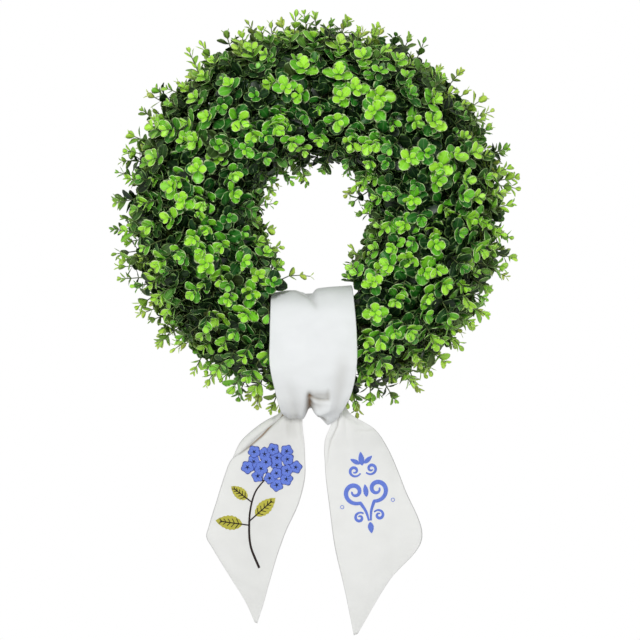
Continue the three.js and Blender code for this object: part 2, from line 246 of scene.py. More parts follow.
# %% Points and faces that become one piece
class Shape:
    """Points, faces, material slots and vectors per point, gathered part by part."""

    def __init__(self):
        self.count = 0
        self.points = []
        self.faces = []
        self.slots = []
        self.values = {}

    def add(self, points, faces, slot=0, **values):
        """Adds points in millimetres, groups of faces with equally many corners, and vectors per point."""
        for group in faces:
            self.faces.append(np.asarray(group) + self.count)
            self.slots.append(np.full(len(group), slot))
        for name, rows in values.items():
            self.values.setdefault(name, []).append((self.count, np.asarray(rows, float)))
        self.points.append(points)
        self.count += len(points)

    def piece(self, name, materials):
        """Makes the mesh object, in metres. Points that were given no vector of some name have zeros."""
        points = np.concatenate(self.points)
        corners = np.concatenate([group.ravel() for group in self.faces])
        sizes = np.concatenate([np.full(len(group), group.shape[1]) for group in self.faces])
        mesh = bpy.data.meshes.new(name)
        mesh.vertices.add(len(points))
        mesh.vertices.foreach_set("co", (points * MM).astype(np.float32).ravel())
        mesh.loops.add(len(corners))
        mesh.loops.foreach_set("vertex_index", corners.astype(np.int32))
        mesh.polygons.add(len(sizes))
        starts = np.concatenate([[0], np.cumsum(sizes)[:-1]])
        mesh.polygons.foreach_set("loop_start", starts.astype(np.int32))
        for material in materials:
            mesh.materials.append(material)
        mesh.polygons.foreach_set("material_index", np.concatenate(self.slots).astype(np.int32))
        for key, parts in self.values.items():
            rows = np.zeros((len(points), 3))
            for start, part in parts:
                rows[start : start + len(part)] = part
            layer = mesh.attributes.new(key, "FLOAT_VECTOR", "POINT")
            layer.data.foreach_set("vector", rows.astype(np.float32).ravel())
        mesh.update(calc_edges=True)
        mesh.validate()
        mesh.shade_smooth()
        made = bpy.data.objects.new(name, mesh)
        bpy.context.scene.collection.objects.link(made)
        print(f"{name}: {len(points)} points, {len(sizes)} faces")
        return made


# %% Faces of a tube
def tube_faces(rings, around, first_cap=True, last_cap=True):
    """Groups of faces of a tube whose points come ring by ring: its sides, then its caps."""
    ring = np.arange(rings - 1)[:, None] * around
    step = np.arange(around)[None, :]
    after = (step + 1) % around
    quads = np.stack(
        [ring + step, ring + after, ring + around + after, ring + around + step], axis=-1
    ).reshape(-1, 4)
    groups = [quads]
    if first_cap:
        groups.append(np.arange(around)[::-1][None, :])
    if last_cap:
        groups.append(((rings - 1) * around + np.arange(around))[None, :])
    return groups


# %% [markdown]
# ## Leaves
# A boxwood leaf is nearly round, broadest beyond its middle and cupped like a spoon, and the moulded ones
# have a thin pale rim, which the colour brightens with a painted highlight. One leaf is a flattened tube:
# seven rows from the stalk to the tip, with six points round each. All leaves of a bunch are worked out in
# one go, each with its own length, cup and curl.

# %% The form of a leaf
LEAF_SLOT, STEM_SLOT, PACKED_SLOT = 0, 1, 2  # the materials of a bunch
LEAF_ROWS = np.array([0, 0.12, 0.3, 0.52, 0.73, 0.9, 1])
LEAF_RING_ACROSS = np.array([-1, -0.5, 0, 0.5, 1, 0])
LEAF_RING_SIDE = np.array([0, 1, 1, 1, 0, -1])
LEAF_HALF_THICK = 0.4
END_THICKNESS = 0.4  # at its ends, a leaf has this share of its thickness
LEAF_BROADEST = 1.4  # larger moves the broadest place towards the tip
LEAF_ROUNDNESS = 0.6  # smaller makes it rounder
STALK_WIDTH = 0.1
TIP_WIDTH = 0.3
CUP_GROWTH = 1.6  # the cup is flat at the stalk and soon reaches its full depth


def leaf_half_width(v):
    """Half the width at a place along the leaf, as a share of its greatest half width."""
    bow = np.sin(math.pi * v**LEAF_BROADEST)
    width = np.clip(bow, 0, 1) ** LEAF_ROUNDNESS
    return np.where(v <= 0, STALK_WIDTH, np.where(v >= 1, TIP_WIDTH, width))


# %% Many leaves at once
def add_leaves(shape, leaves):
    """Adds leaves from dicts of: base, along, up, length, width, cup, curl, age and tint."""
    base = np.array([leaf["base"] for leaf in leaves])
    along = np.array([leaf["along"] for leaf in leaves])
    up = np.array([leaf["up"] for leaf in leaves])
    size = np.array([[leaf[k] for k in ("length", "width", "cup", "curl", "age")] for leaf in leaves])
    length, width, cup, curl, age = (size[:, k, None] for k in range(5))
    tint = np.array([leaf["tint"] for leaf in leaves])
    side = np.cross(along, up)

    v, u = (grid.ravel() for grid in np.meshgrid(LEAF_ROWS, LEAF_RING_ACROSS, indexing="ij"))
    face = np.tile(LEAF_RING_SIDE, len(LEAF_ROWS))
    sideways = leaf_half_width(v) * width / 2 * u
    lift = cup * sideways**2 / (width / 2) * np.minimum(1, CUP_GROWTH * v) + curl * length * v**2
    lift = lift + LEAF_HALF_THICK * face * (END_THICKNESS + (1 - END_THICKNESS) * np.sin(math.pi * v))
    points = (
        base[:, None, :]
        + along[:, None, :] * (length * v)[..., None]
        + side[:, None, :] * sideways[..., None]
        + up[:, None, :] * lift[..., None]
    )
    place = np.empty(points.shape)
    place[..., 0] = u
    place[..., 1] = v
    place[..., 2] = age
    offsets = (np.arange(len(leaves)) * len(v))[:, None, None]
    faces = [
        (group[None, :, :] + offsets).reshape(-1, group.shape[1])
        for group in tube_faces(len(LEAF_ROWS), len(LEAF_RING_ACROSS))
    ]
    shape.add(
        points.reshape(-1, 3),
        faces,
        LEAF_SLOT,
        leaf_place=place.reshape(-1, 3),
        leaf_tint=np.repeat(tint, len(v), axis=0),
    )


print(f"a leaf has {len(LEAF_ROWS) * len(LEAF_RING_ACROSS)} points")


# %% [markdown]
# ## Sprigs
# Boxwood leaves stand in pairs, each pair crossing the last, young and steep at the tip, large and flat
# lower down. The formulas that place a sprig are those of the CAD model, so the largest sprigs stand where
# its solids are. More are then thrown in between wherever there is room: first those that reach the
# surface, then short old ones that fill the depth with dark leaves, whose colour paints the shade there.

# %% Sizes that the CAD model's sprigs are placed by
CORE_OUTWARD = 66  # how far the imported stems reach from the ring's centre line, out, forward and in
CORE_FRONT = 58
CORE_INWARD = 50
CORE_BACK = 20
TIP_OUTWARD = 125  # and how far the tips of the sprigs do
TIP_FRONT = 102
TIP_INWARD = 84
HOLE_RISE = 14  # tips reach further into the hole at its top, and less far at its bottom
SLAB_LEFT = -76  # the sash's share of the wreath lies between these
SLAB_RIGHT = 65
SECTORS = 14  # bunches round the wreath, from the sash's right side over the top to its left side
FIRST_ANGLE = math.asin(SLAB_RIGHT / RING_RADIUS) - math.pi / 2
LAST_ANGLE = 3 * math.pi / 2 - math.asin(-SLAB_LEFT / RING_RADIUS)
SECTOR_ANGLE = (LAST_ANGLE - FIRST_ANGLE) / SECTORS
DRAWS_A_BUNCH = 16
# Rows of a sprig's angle round the section in degrees, its place across the bunch from -1 to 1, and its size.
BUNCH_PATTERN = [
    (-4, -0.5, 1),
    (-4, 0.5, 1),
    (30, 0, 1),
    (60, 0.35, 1.05),
    (78, -0.4, 1.05),
    (108, 0.25, 0.95),
    (142, -0.2, 0.78),
    (178, 0, 0.72),
]
BESIDE_SASH = [(-4, -1.35, 1), (30, -1.2, 1)]
UNDER_SASH = [(0, -0.35, 1), (0, 0.5, 1)]
STRAY = {"across": 0.16, "section": 12, "reach": 0.14, "spin": 0.9, "size": 0.12}  # spread of the draws
MODEL_BEND = 5
print(f"{SECTORS} bunches of {SECTOR_ANGLE / DEGREE:.1f} degrees")


# %% Draws and reaches by the CAD model's formulas
def draw(n, k):
    """A repeatable draw from 0 to 1 for sprig number n, made by the same formula in both models."""
    s = math.sin(n * 12.9898 + k * 78.233) * 43758.5453
    return s - math.floor(s)


def core_reach(section):
    """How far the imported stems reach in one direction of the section, which is half an ellipse each way."""
    across = np.where(np.cos(section) > 0, CORE_OUTWARD, CORE_INWARD)
    return 1 / np.hypot(np.cos(section) / across, np.sin(section) / CORE_FRONT)


def tip_reach(around, section):
    """How far the tips reach there."""
    inward = TIP_INWARD + HOLE_RISE * np.sin(around)
    front = np.maximum(0, np.sin(section))
    side = np.where(np.cos(section) > 0, TIP_OUTWARD, inward)
    return side + (TIP_FRONT - side) * front**2


# %% The CAD model's sprigs
def model_sprigs(number, middle, pattern):
    """The sprigs that the CAD model has in one bunch."""
    mirror = 1 if number % 2 == 0 else -1
    found = []
    for k, (section, across, size) in enumerate(pattern):
        n = number * DRAWS_A_BUNCH + k

        def stray(which, spread):
            return spread * (draw(n, which) - 0.5)

        around = middle + (mirror * across + stray(1, STRAY["across"])) * SECTOR_ANGLE / 2
        angle = (section + stray(2, STRAY["section"])) * DEGREE
        found.append(
            {
                "around": around,
                "section": angle,
                "reach": float(tip_reach(around, angle)) * (1 + stray(3, STRAY["reach"])),
                "spin": stray(4, STRAY["spin"]),
                "size": size * (1 + stray(5, STRAY["size"])),
                "bend": MODEL_BEND,
                "core": float(core_reach(angle)),
                "youngest": 0,
            }
        )
    return found


# %% Throwing more sprigs in between
FILL_TRIES = 900
FILL_SECTIONS = (-9, 189)  # from a little behind the plane of the ring, over the front, to a little behind it
FULLEST_AT = 225 * DEGREE  # the wreath is a little fuller at its lower left
FULLNESS = 0.04
# Each layer's least distance between tips, and how far they reach, as shares of tip_reach.
SURFACE = {"spacing": 28, "outward": (0.9, 1.19), "front": (0.86, 1.04), "inward": (0.95, 1.26)}
DEPTH = {"spacing": 28, "outward": (0.66, 0.86), "front": (0.68, 0.84), "inward": (0.7, 0.9)}
FILL_BEND = 20
FILL_SIZES = (0.85, 1.15)
INWARD_SIZE = 0.85  # sprigs in the hole are smaller
OLD_PAIR = 3  # the first pair of leaves that an old sprig of the depth still has


def blend(section, outward, front, inward):
    """A value between three, by the direction that a sprig points in."""
    forward = max(0.0, math.sin(section)) ** 2
    side = outward if math.cos(section) > 0 else inward
    return side + (front - side) * forward


def fill_sprigs(chance, layer, tips, from_angle, to_angle, allowed):
    """Adds sprigs at random places whose tips keep their distance from those that are there."""
    found = []
    for _ in range(FILL_TRIES):
        around = chance.uniform(from_angle, to_angle)
        section = chance.uniform(*FILL_SECTIONS) * DEGREE
        shares = [chance.uniform(*layer[way]) for way in ("outward", "front", "inward")]
        full = 1 + FULLNESS * math.cos(around - FULLEST_AT)
        reach = float(tip_reach(around, section)) * blend(section, shares[0] * full, *shares[1:])
        sprig = {
            "around": around,
            "section": section,
            "reach": reach,
            "spin": chance.uniform(0, math.pi),
            "size": chance.uniform(*FILL_SIZES) * blend(section, 1, 1, INWARD_SIZE),
            "bend": FILL_BEND,
            "core": float(core_reach(section)),
            "youngest": 0 if layer is SURFACE else OLD_PAIR,
        }
        tip = wreath_point(around, section, reach)
        if len(tips) and np.min(np.linalg.norm(np.array(tips) - tip, axis=1)) < layer["spacing"]:
            continue
        if allowed(sprig):
            tips.append(tip)
            found.append(sprig)
    return found


# %% [markdown]
# ## One sprig
# A sprig is a bent centre line with pairs of leaves on it. Its look changes along the line: at the tip the
# leaves are small, steep and lime, and towards the foot they are large, flat and dark. Sprigs at the rim are
# seen from the side and have slimmer leaves than those at the front, which show their broad faces.

# %% The centre line of a sprig
DROOP = np.array([0, 0, -0.8])  # a sprig that points at the viewer hangs, as a share of its bend
BEND_SHARES = (0.2, 1)


def unit(vector):
    return vector / np.linalg.norm(vector)


def turned(vector, axis, angle):
    """Rodrigues' formula: a vector turned about a unit axis."""
    return (
        vector * math.cos(angle)
        + np.cross(axis, vector) * math.sin(angle)
        + axis * np.dot(axis, vector) * (1 - math.cos(angle))
    )


def sprig_axis(sprig, chance):
    """The sprig's centre line and its heading as functions of the reach, and the wreath's own direction."""
    foot = wreath_point(sprig["around"], sprig["section"], 0)
    outward = wreath_point(sprig["around"], sprig["section"], 1) - foot
    along = np.array([-math.sin(sprig["around"]), 0, math.cos(sprig["around"])])
    across = np.cross(along, outward)
    lean = sprig.get("lean", chance.uniform(0, 2 * math.pi))
    bend = (along * math.cos(lean) + across * math.sin(lean)) * chance.uniform(*BEND_SHARES)
    bend = (bend + DROOP * max(0.0, math.sin(sprig["section"])) ** 2) * sprig["bend"]
    core = sprig["core"]

    def at(h):
        share = max(0.0, (h - core) / (sprig["reach"] - core))
        return foot + outward * h + bend * share**2

    def heading(h):
        return unit(at(h + 0.5) - at(h - 0.5))

    return at, heading, along


# %% How a whole sprig looks
SLIM = 0.2  # how broad the leaves are on a sprig at the rim, where 1 is the broadest
BROAD_SPREAD = 0.3
DARK_SPRIGS = 0.34  # this share of the sprigs is dark to the tips
DARK_LIGHTS = (-0.5, -0.2)
FRESH_LIGHTS = (-0.06, 0.2)
SUNLIT_SHARES = (0.25, 0.95)
BROWN_SPRIGS = 0.05  # this share of the sprigs is an olive brown, mostly at the rim
BROWN_SHARES = (0.35, 0.65)
GREEN_SHARES = (0, 0.05)
FRONT_LESS_BROWN = 0.8


def sprig_light(chance):
    """How much lighter than usual a sprig is: most are fresh, some are dark to their tips."""
    if chance.uniform(0, 1) < DARK_SPRIGS:
        return chance.uniform(*DARK_LIGHTS)
    return chance.uniform(*FRESH_LIGHTS)


def sprig_look(sprig, chance):
    """How broad its leaves are, how light, sunlit and brown. A sprig may bring the first two along."""
    front = max(0.0, math.sin(sprig["section"]))
    broad = SLIM + (1 - SLIM) * front + chance.uniform(-BROAD_SPREAD, BROAD_SPREAD)
    broad = sprig.get("broad", min(1.0, max(0.0, broad)))
    light = sprig.get("light", sprig_light(chance))
    sunlit = (1 - front) ** 2 * chance.uniform(*SUNLIT_SHARES)  # thin leaves at the rim let light through
    shares = BROWN_SHARES if chance.uniform(0, 1) < BROWN_SPRIGS else GREEN_SHARES
    brown = chance.uniform(*shares) * (1 - FRONT_LESS_BROWN * front)
    return broad, light, sunlit, brown


# %% How leaves change down a sprig
PAIR_DROPS = [0, 5.5, 13, 23, 35, 48, 62, 77]  # how far each pair is below the tip
TIP_ROOM = 3  # from the first pair to the end of the reach
LEAST_PAIRS = 3  # a short sprig has this many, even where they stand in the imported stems
# These pairs of values are for a sprig of slim leaves and for one of broad leaves.
PITCHES = (1.3, 0.9)  # how far apart its pairs of leaves are, as a share of the drops
TIP_LENGTHS = (9, 12)
LENGTH_DROPS = (22, 14)  # so far below the tip, leaves have grown by most of LENGTH_GROWTH
TIP_LIFTS = (50, 30)  # how much steeper than old leaves the youngest stand, in degrees
WIDTH_SHARES = (0.5, 0.88)  # a leaf's width, as a share of its length
LENGTH_GROWTH = 17
OLD_LIFT = 12  # how steep old leaves stand
LIFT_DROP = 22
TIP_AGE = 1.1  # a leaf's age runs from 1, lime green, to 0, nearly black
AGE_DROP = 31  # so far below the tip, it is less by 1
STRAY_SPIN, STRAY_TILT, STRAY_ROLL, STRAY_AGE = 0.15, 0.13, 0.2, 0.05
LONG_SHARES = (0.88, 1.12)
WIDE_SHARES = (0.92, 1.08)
CUPS = (0.12, 0.38)
CURLS = (-0.16, 0.02)
YOUNG_CURL = 0.12
CURL_DROP = 12


def between(pair, broad):
    """The value for a sprig that is this broad, from 0 to 1."""
    return pair[0] + (pair[1] - pair[0]) * broad


def leaf_length(drop, broad):
    """Leaves get longer down the sprig. Broad ones start longer and get there sooner."""
    grown = 1 - math.exp(-drop / between(LENGTH_DROPS, broad))
    return between(TIP_LENGTHS, broad) + LENGTH_GROWTH * grown


def leaf_lift(drop, broad):
    """Young leaves stand steep along the stem, old ones lie flat across it."""
    return (OLD_LIFT + between(TIP_LIFTS, broad) * math.exp(-drop / LIFT_DROP)) * DEGREE


# %% The leaves of a sprig, pair by pair
def sprig_leaves(sprig, chance):
    """Rows for add_leaves, and the points and radii of the stem."""
    at, heading, along = sprig_axis(sprig, chance)
    broad, light, sunlit, brown = sprig_look(sprig, chance)
    pitch = between(PITCHES, broad) * sprig["size"]
    top_drop = PAIR_DROPS[sprig["youngest"]]
    leaves = []
    stem = []
    for k, drop in enumerate(PAIR_DROPS[sprig["youngest"] :]):
        h = sprig["reach"] - TIP_ROOM - (drop - top_drop) * pitch
        if h < sprig["core"] and k >= LEAST_PAIRS:
            break
        axis = heading(h)
        start = unit(along - axis * np.dot(along, axis))
        length = leaf_length(drop, broad) * sprig["size"]
        stem.append((at(h), STEM_TIP_RADIUS + STEM_GROWTH * drop))
        for side in (0, 1):
            quarter = (k % 2) * math.pi / 2  # each pair crosses the last
            spin = sprig["spin"] + quarter + side * math.pi + chance.normal(0, STRAY_SPIN)
            outward = turned(start, axis, spin)
            tilt = leaf_lift(drop, broad) + chance.normal(0, STRAY_TILT)
            direction = outward * math.cos(tilt) + axis * math.sin(tilt)
            up = axis * math.cos(tilt) - outward * math.sin(tilt)
            up = turned(up, direction, chance.normal(0, STRAY_ROLL))
            long = length * chance.uniform(*LONG_SHARES)
            age = TIP_AGE - drop / AGE_DROP + light + chance.normal(0, STRAY_AGE)
            leaves.append(
                {
                    "base": at(h),
                    "along": direction,
                    "up": up,
                    "length": long,
                    "width": long * between(WIDTH_SHARES, broad) * chance.uniform(*WIDE_SHARES),
                    "cup": chance.uniform(*CUPS),
                    "curl": chance.uniform(*CURLS) + YOUNG_CURL * math.exp(-drop / CURL_DROP),
                    "age": min(1.0, max(0.0, age)),
                    "tint": (chance.uniform(0, 1), brown, sunlit),
                }
            )
    stem.append((at(sprig["core"] - STEM_ROOT), STEM_FOOT_RADIUS))
    return leaves, stem


# %% Stems
STEM_SIDES = 5
STEM_TIP_RADIUS = 0.7
STEM_GROWTH = 0.012  # of the radius, for each millimetre below the tip
STEM_FOOT_RADIUS = 1.8
STEM_ROOT = 8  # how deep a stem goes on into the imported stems
NO_HEADING = (0.31, 0.95, 0.11)  # hardly any stem heads this way, so the section can be built across it


def add_stem(shape, stem):
    """A thin round stem through its points."""
    points = np.array([place for place, _ in stem])[::-1]
    radii = np.array([radius for _, radius in stem])[::-1]
    headings = np.gradient(points, axis=0)
    headings /= np.linalg.norm(headings, axis=1)[:, None]
    sideways = np.cross(headings, NO_HEADING)
    sideways /= np.linalg.norm(sideways, axis=1)[:, None]
    other = np.cross(headings, sideways)
    turn = np.arange(STEM_SIDES) * 2 * math.pi / STEM_SIDES
    rings = (
        points[:, None, :]
        + sideways[:, None, :] * (np.cos(turn)[None, :] * radii[:, None])[..., None]
        + other[:, None, :] * (np.sin(turn)[None, :] * radii[:, None])[..., None]
    )
    shape.add(rings.reshape(-1, 3), tube_faces(len(points), STEM_SIDES), STEM_SLOT)


# %% [markdown]
# ## Keeping clear of the door and the sash
# The door presses the hindmost leaves flat, so what would go through it is squeezed into the last
# millimetres before it. The sash lies over the leaves below the centre: a leaf that would be in it isn't
# made, one that brushes it is pushed aside, and some in front of it hang over its edge. Leaves that are
# deep enough inside the sash's loop go on under the cloth, so there is no gap along its edge.

# %% The sash's route: [x left, x right, y, height above the wreath's centre, crown]
SASH_BACK = 23.4  # the plane in which the sash runs down the back
LOOP_STATIONS = np.array(
    [
        [-34, 18, 3, -296, 0],
        [-41, 26, -11, -314, 1],
        [-48, 32, -34, -322, 0],
        [-54, 38, -57, -306, 5],
        [-63, 53, -78, -272, 9],
        [-71, 60, -88, -232, 9],
        [-71, 60, -88, -188, 8],
        [-70, 57, -84, -147, 5],
        [-69, 54, -60, -124, 2],
        [-66, 52, -10, -119, 0.5],
        [-65, 52, 14, -125, 0],
        [-65, 52, SASH_BACK - 1, -146, 0],
        [-64, 52, SASH_BACK, -165, 0],
        [-64, 52, SASH_BACK, -190, 0],
        [-62, 50, SASH_BACK, -232, 0],
        [-56, 42, 22, -276, 0],
        [-42, 26, 14, -300, 0],
    ],
    float,
)
LOOP_LINE = LOOP_STATIONS[2:-1, 2:4]
LOOP_MIDDLE = np.array([-35.0, -210.0])
FRONT_EDGE = LOOP_STATIONS[2:9]

# %% Pressed by the door
WALL_Y = 27
DOOR_ROOM = 12  # the leaves in this last stretch before the door are squeezed


def pressed_by_door(points):
    """Squeezes what is near the door or behind it into the last stretch before it."""
    start = WALL_Y - DOOR_ROOM
    beyond = np.maximum(0, points[:, 1] - start)
    pressed = start + (DOOR_ROOM - 1) * (1 - np.exp(-beyond / DOOR_ROOM))
    points[:, 1] = np.where(beyond > 0, pressed, points[:, 1])
    return points


# %% How far points are from the sash
SASH_CLEAR = 1
SASH_FROM = -106  # the sash's share of the wreath starts this far below the centre


def room_beside_sash(points):
    """How far points are outside the sash's sides (negative inside), and how far before the cloth."""
    z = points[..., 2] - CENTRE_Z
    left = np.interp(z, FRONT_EDGE[:, 3], FRONT_EDGE[:, 0]) - SASH_CLEAR
    right = np.interp(z, FRONT_EDGE[:, 3], FRONT_EDGE[:, 1]) + SASH_CLEAR
    aside = np.maximum(left - points[..., 0], points[..., 0] - right)
    before = np.interp(z, FRONT_EDGE[:, 3], FRONT_EDGE[:, 2]) - points[..., 1]
    return np.where(z < SASH_FROM, aside, np.inf), before


def loop_room(points):
    """How far inside the sash's loop points are, by their direction from the loop's middle."""
    spokes = LOOP_LINE - LOOP_MIDDLE
    angles = np.arctan2(spokes[:, 1], spokes[:, 0])
    order = np.argsort(angles)
    reach = np.linalg.norm(spokes, axis=1)[order]
    offset = points[..., 1:] - LOOP_MIDDLE - (0, CENTRE_Z)
    angle = np.arctan2(offset[..., 1], offset[..., 0])
    limit = np.interp(angle, angles[order], reach, period=2 * math.pi)
    return limit - np.linalg.norm(offset, axis=-1)


# %% Which sprigs and leaves the sash leaves room for
STEM_MARKS = 8  # places along a stem that are looked at
STEM_ROOM = 2  # from a stem to the sash's edge
STEM_BEHIND = 8  # a stem that is this far behind the cloth's front may pass under it
LEAF_MARKS = np.array([0.55, 1])  # the places along a leaf that are looked at: its middle and its tip
OVER_CLOTH = 4  # a leaf this far before the cloth hangs over its edge
OVER_ROOM = 0.3  # and keeps this share of its width from it
EDGE_ROOM = 1.5  # from any other leaf to the sash's edge
UNDER_ROOM = 8  # from a leaf under the cloth to the cloth


def clear_of_sash(sprig):
    """Whether a sprig's tip is beside the sash and its stem doesn't go through the cloth."""
    inward = math.cos(sprig["section"]) < 0
    heights = np.linspace(0 if inward else sprig["core"], sprig["reach"], STEM_MARKS)
    aside, before = room_beside_sash(wreath_point(sprig["around"], sprig["section"], heights))
    if inward:
        return aside.min() > 0
    return aside[-1] > 0 and not ((aside < STEM_ROOM) & (before > -STEM_BEHIND)).any()


def beside_sash(leaves):
    """The leaves that are outside the sash's sides or go on well under the cloth."""
    if not leaves:
        return leaves
    bases = np.array([leaf["base"] for leaf in leaves])
    runs = np.array([leaf["along"] * leaf["length"] for leaf in leaves])
    ends = bases[:, None, :] + runs[:, None, :] * LEAF_MARKS[:, None]
    widths = np.array([leaf["width"] for leaf in leaves])
    aside, before = room_beside_sash(ends)
    over = before[:, 0] > OVER_CLOTH
    room = np.where(over, OVER_ROOM * widths, 0) + EDGE_ROOM
    free = (aside[:, 0] > room) & (aside[:, 1] > EDGE_ROOM)
    under = loop_room(ends).min(axis=1) > UNDER_ROOM
    return [leaf for leaf, keep in zip(leaves, free | under) if keep]


def pushed_aside(points):
    """Moves what would be in the cloth sideways to the sash's edge."""
    aside, _ = room_beside_sash(points)
    outward = np.sign(points[:, 0] - (SLAB_LEFT + SLAB_RIGHT) / 2)
    pushed = (aside < 0) & (loop_room(points) < UNDER_ROOM / 2)
    points[:, 0] = np.where(pushed, points[:, 0] - aside * outward, points[:, 0])
    return points


# %% [markdown]
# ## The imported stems
# Inside a bunch, the stems are packed and bound to the ring. They form a dark band that hugs the ring and
# ends in a flat back. It is turned like a lathe profile, with a ridge for every stem, and each bunch gets
# its own stretch of it, cut where the sash crosses. Behind it, single stems fan out over the door.

# %% The profile of the band
SEAT_GAP = 0.4  # from the band to the vines and to the sash
CORE_ARC_STEPS = 14
CHANNEL_ANGLE = 60 * DEGREE  # the channel that the vines lie in goes round this much of them at each side
CHANNEL_STEPS = 8
FULL = (1, 1)  # shares of the band's thickness outward and inward


def band_profile(slimness):
    """Points [radius from the axis, y, relief] round the band's section."""
    back = math.asin(CORE_BACK / CORE_FRONT)
    outer = np.linspace(-back, math.pi + back, CORE_ARC_STEPS + 1)
    across = np.where(np.cos(outer) > 0, CORE_OUTWARD * slimness[0], CORE_INWARD * slimness[1])
    depth = CORE_FRONT * np.where(np.sin(outer) > 0, slimness[0], 1)
    rows = [(RING_RADIUS + a * math.cos(s), -d * math.sin(s), 1) for s, a, d in zip(outer, across, depth)]
    reach = VINE_CREST + SEAT_GAP
    for s in np.linspace(math.pi + CHANNEL_ANGLE, -CHANNEL_ANGLE, CHANNEL_STEPS + 1):
        rows.append((RING_RADIUS + reach * math.cos(s), -reach * math.sin(s), 0))
    return np.array(rows)


print(f"the band's profile has {len(band_profile(FULL))} points")

# %% One bunch's stretch of the band
STEM_PITCH = 5.5  # from one packed stem to the next
STEM_RELIEF = 1.9
STEPS_A_STEM = 4


def add_band(shape, start_of, end_of, slimness):
    """A stretch of the band, between angles that may depend on the radius."""
    profile = band_profile(slimness)
    starts = np.array([start_of(r) for r in profile[:, 0]])
    ends = np.array([end_of(r) for r in profile[:, 0]])
    steps = int(abs(np.mean(ends - starts)) * RING_RADIUS / STEM_PITCH) * STEPS_A_STEM
    share = np.linspace(0, 1, steps + 1)[:, None]
    angle = starts[None, :] * (1 - share) + ends[None, :] * share
    wave = np.abs(np.sin(angle * RING_RADIUS * math.pi / STEM_PITCH))
    rough = 0.5 + 0.5 * np.sin(angle * 37) * np.sin(angle * 61 + 1)  # two pitches that never fall in step
    relief = STEM_RELIEF * profile[None, :, 2] * (wave - 1 - rough)
    middle = np.array([RING_RADIUS, 0])
    outward = profile[:, :2] - middle
    outward /= np.linalg.norm(outward, axis=1)[:, None]
    radius = profile[None, :, 0] + outward[None, :, 0] * relief
    y = profile[None, :, 1] + outward[None, :, 1] * relief
    points = np.stack([radius * np.cos(angle), y, CENTRE_Z + radius * np.sin(angle)], axis=-1)
    shape.add(points.reshape(-1, 3), tube_faces(steps + 1, len(profile)), PACKED_SLOT)


# %% [markdown]
# ## The stems behind
# On the back, the longest stems lie flat over the door and point outwards, and some point into the hole.
# They could be sprigs like the others, turned back, but most of their leaves would be pressed away. So each
# is a stem along the back of the band, with a few flat, dark leaves at its end.

# %% Stems that fan out behind
# Outward (1) and inward (-1): how many to a bunch, where they start and end, and the size of their leaves.
FAN = {
    1: {"count": 26, "from": 22, "to": (72, 104), "size": 1},
    -1: {"count": 12, "from": 22, "to": (46, 72), "size": 0.8},
}
FAN_Y = 20.5
FAN_Y_STRAY = (-1, 1.5)
FAN_FORWARD = 7  # the ends of the stems bend forward, away from the door
FAN_SWAY = 0.05
FAN_ROOM = 24  # no stem of the fan ends this close above the sash
FAN_STEPS = 5
FAN_RADII = (1.5, 0.8)
FAN_LIGHTS = (-0.6, -0.2)
FAN_AGE = 0.75
# Each leaf at a stem's end: how far it leans aside, and how far it is from the end.
FAN_LEAVES = [(-0.7, 0), (0.8, 0), (-0.15, 0), (0.9, 11), (-1.0, 12)]


# %% One such stem and its leaves
def fan_path(chance, side, fan, low, high):
    """The line of a stem on the back of the band, radially out or in."""
    around = chance.uniform(low, high)
    sway = chance.normal(0, FAN_SWAY)
    end = chance.uniform(*fan["to"])
    run = np.linspace(0, 1, FAN_STEPS)
    radius = RING_RADIUS + side * (fan["from"] + (end - fan["from"]) * run)
    turn = around + sway * run**2
    y = FAN_Y + chance.uniform(*FAN_Y_STRAY) - FAN_FORWARD * run**3
    return np.stack([radius * np.cos(turn), y, CENTRE_Z + radius * np.sin(turn)], axis=-1)


def fan_leaves(chance, path, size):
    """A few flat, dark leaves at the end of a stem."""
    ahead = unit(path[-1] - path[-2])
    across = np.cross(ahead, (0, 1, 0))
    light = chance.uniform(*FAN_LIGHTS)
    leaves = []
    for lean, from_end in FAN_LEAVES:
        long = chance.uniform(15, 23) * size
        leaves.append(
            {
                "base": path[-1] - ahead * from_end,
                "along": unit(ahead * math.cos(lean) + across * math.sin(lean)),
                "up": unit(np.array([0, 1, 0]) + chance.normal(0, 0.25, 3)),
                "length": long,
                "width": long * chance.uniform(0.6, 0.8),
                "cup": chance.uniform(-0.3, 0.2),
                "curl": chance.uniform(-0.1, 0.1),
                "age": max(0.0, FAN_AGE + light + chance.normal(0, 0.08)),
                "tint": (chance.uniform(0, 1), chance.uniform(0, 0.3), 0),
            }
        )
    return leaves


# %% The fan of one bunch
def add_fan(shape, chance, low, high, trim):
    """Adds the stems of a bunch that lie over the door, and returns their leaves."""
    leaves = []
    radii = np.linspace(*FAN_RADII, FAN_STEPS)
    for side, fan in FAN.items():
        for _ in range(fan["count"]):
            path = fan_path(chance, side, fan, low, high)
            if room_beside_sash(path - (0, 0, FAN_ROOM))[0].min() < FAN_ROOM / 2:
                continue
            grown = trim(fan_leaves(chance, path, fan["size"]))
            if grown:
                add_stem(shape, list(zip(path[::-1], radii[::-1])))
                leaves += grown
    return leaves


# %% [markdown]
# ## What leaves and stems look like
# The leaf's colour comes from its age: nearly black green inside, lime at the tips, with a few sprigs in
# an olive brown. The darkest of these colours are painted shade, deep inside the wreath. The rim is paler,
# partly the leaf's own pale edge and partly a painted highlight, which is what makes each leaf readable.
# The shader reads the age and the place on the leaf from the attributes, so one material serves every leaf.

# %% More helpers for shader nodes
def math_node(tree, operation, *values):
    return shader_node(tree, "ShaderNodeMath", dict(enumerate(values)), operation=operation).outputs[0]


def mix_node(tree, factor, first, second, **settings):
    inputs = {"Factor": factor, 6: first, 7: second}
    return shader_node(tree, "ShaderNodeMix", inputs, data_type="RGBA", **settings).outputs[2]


def attribute_parts(tree, name):
    """A vector attribute, whole and split into X, Y and Z."""
    whole = shader_node(tree, "ShaderNodeAttribute", attribute_name=name).outputs["Vector"]
    return whole, shader_node(tree, "ShaderNodeSeparateXYZ", {"Vector": whole}).outputs
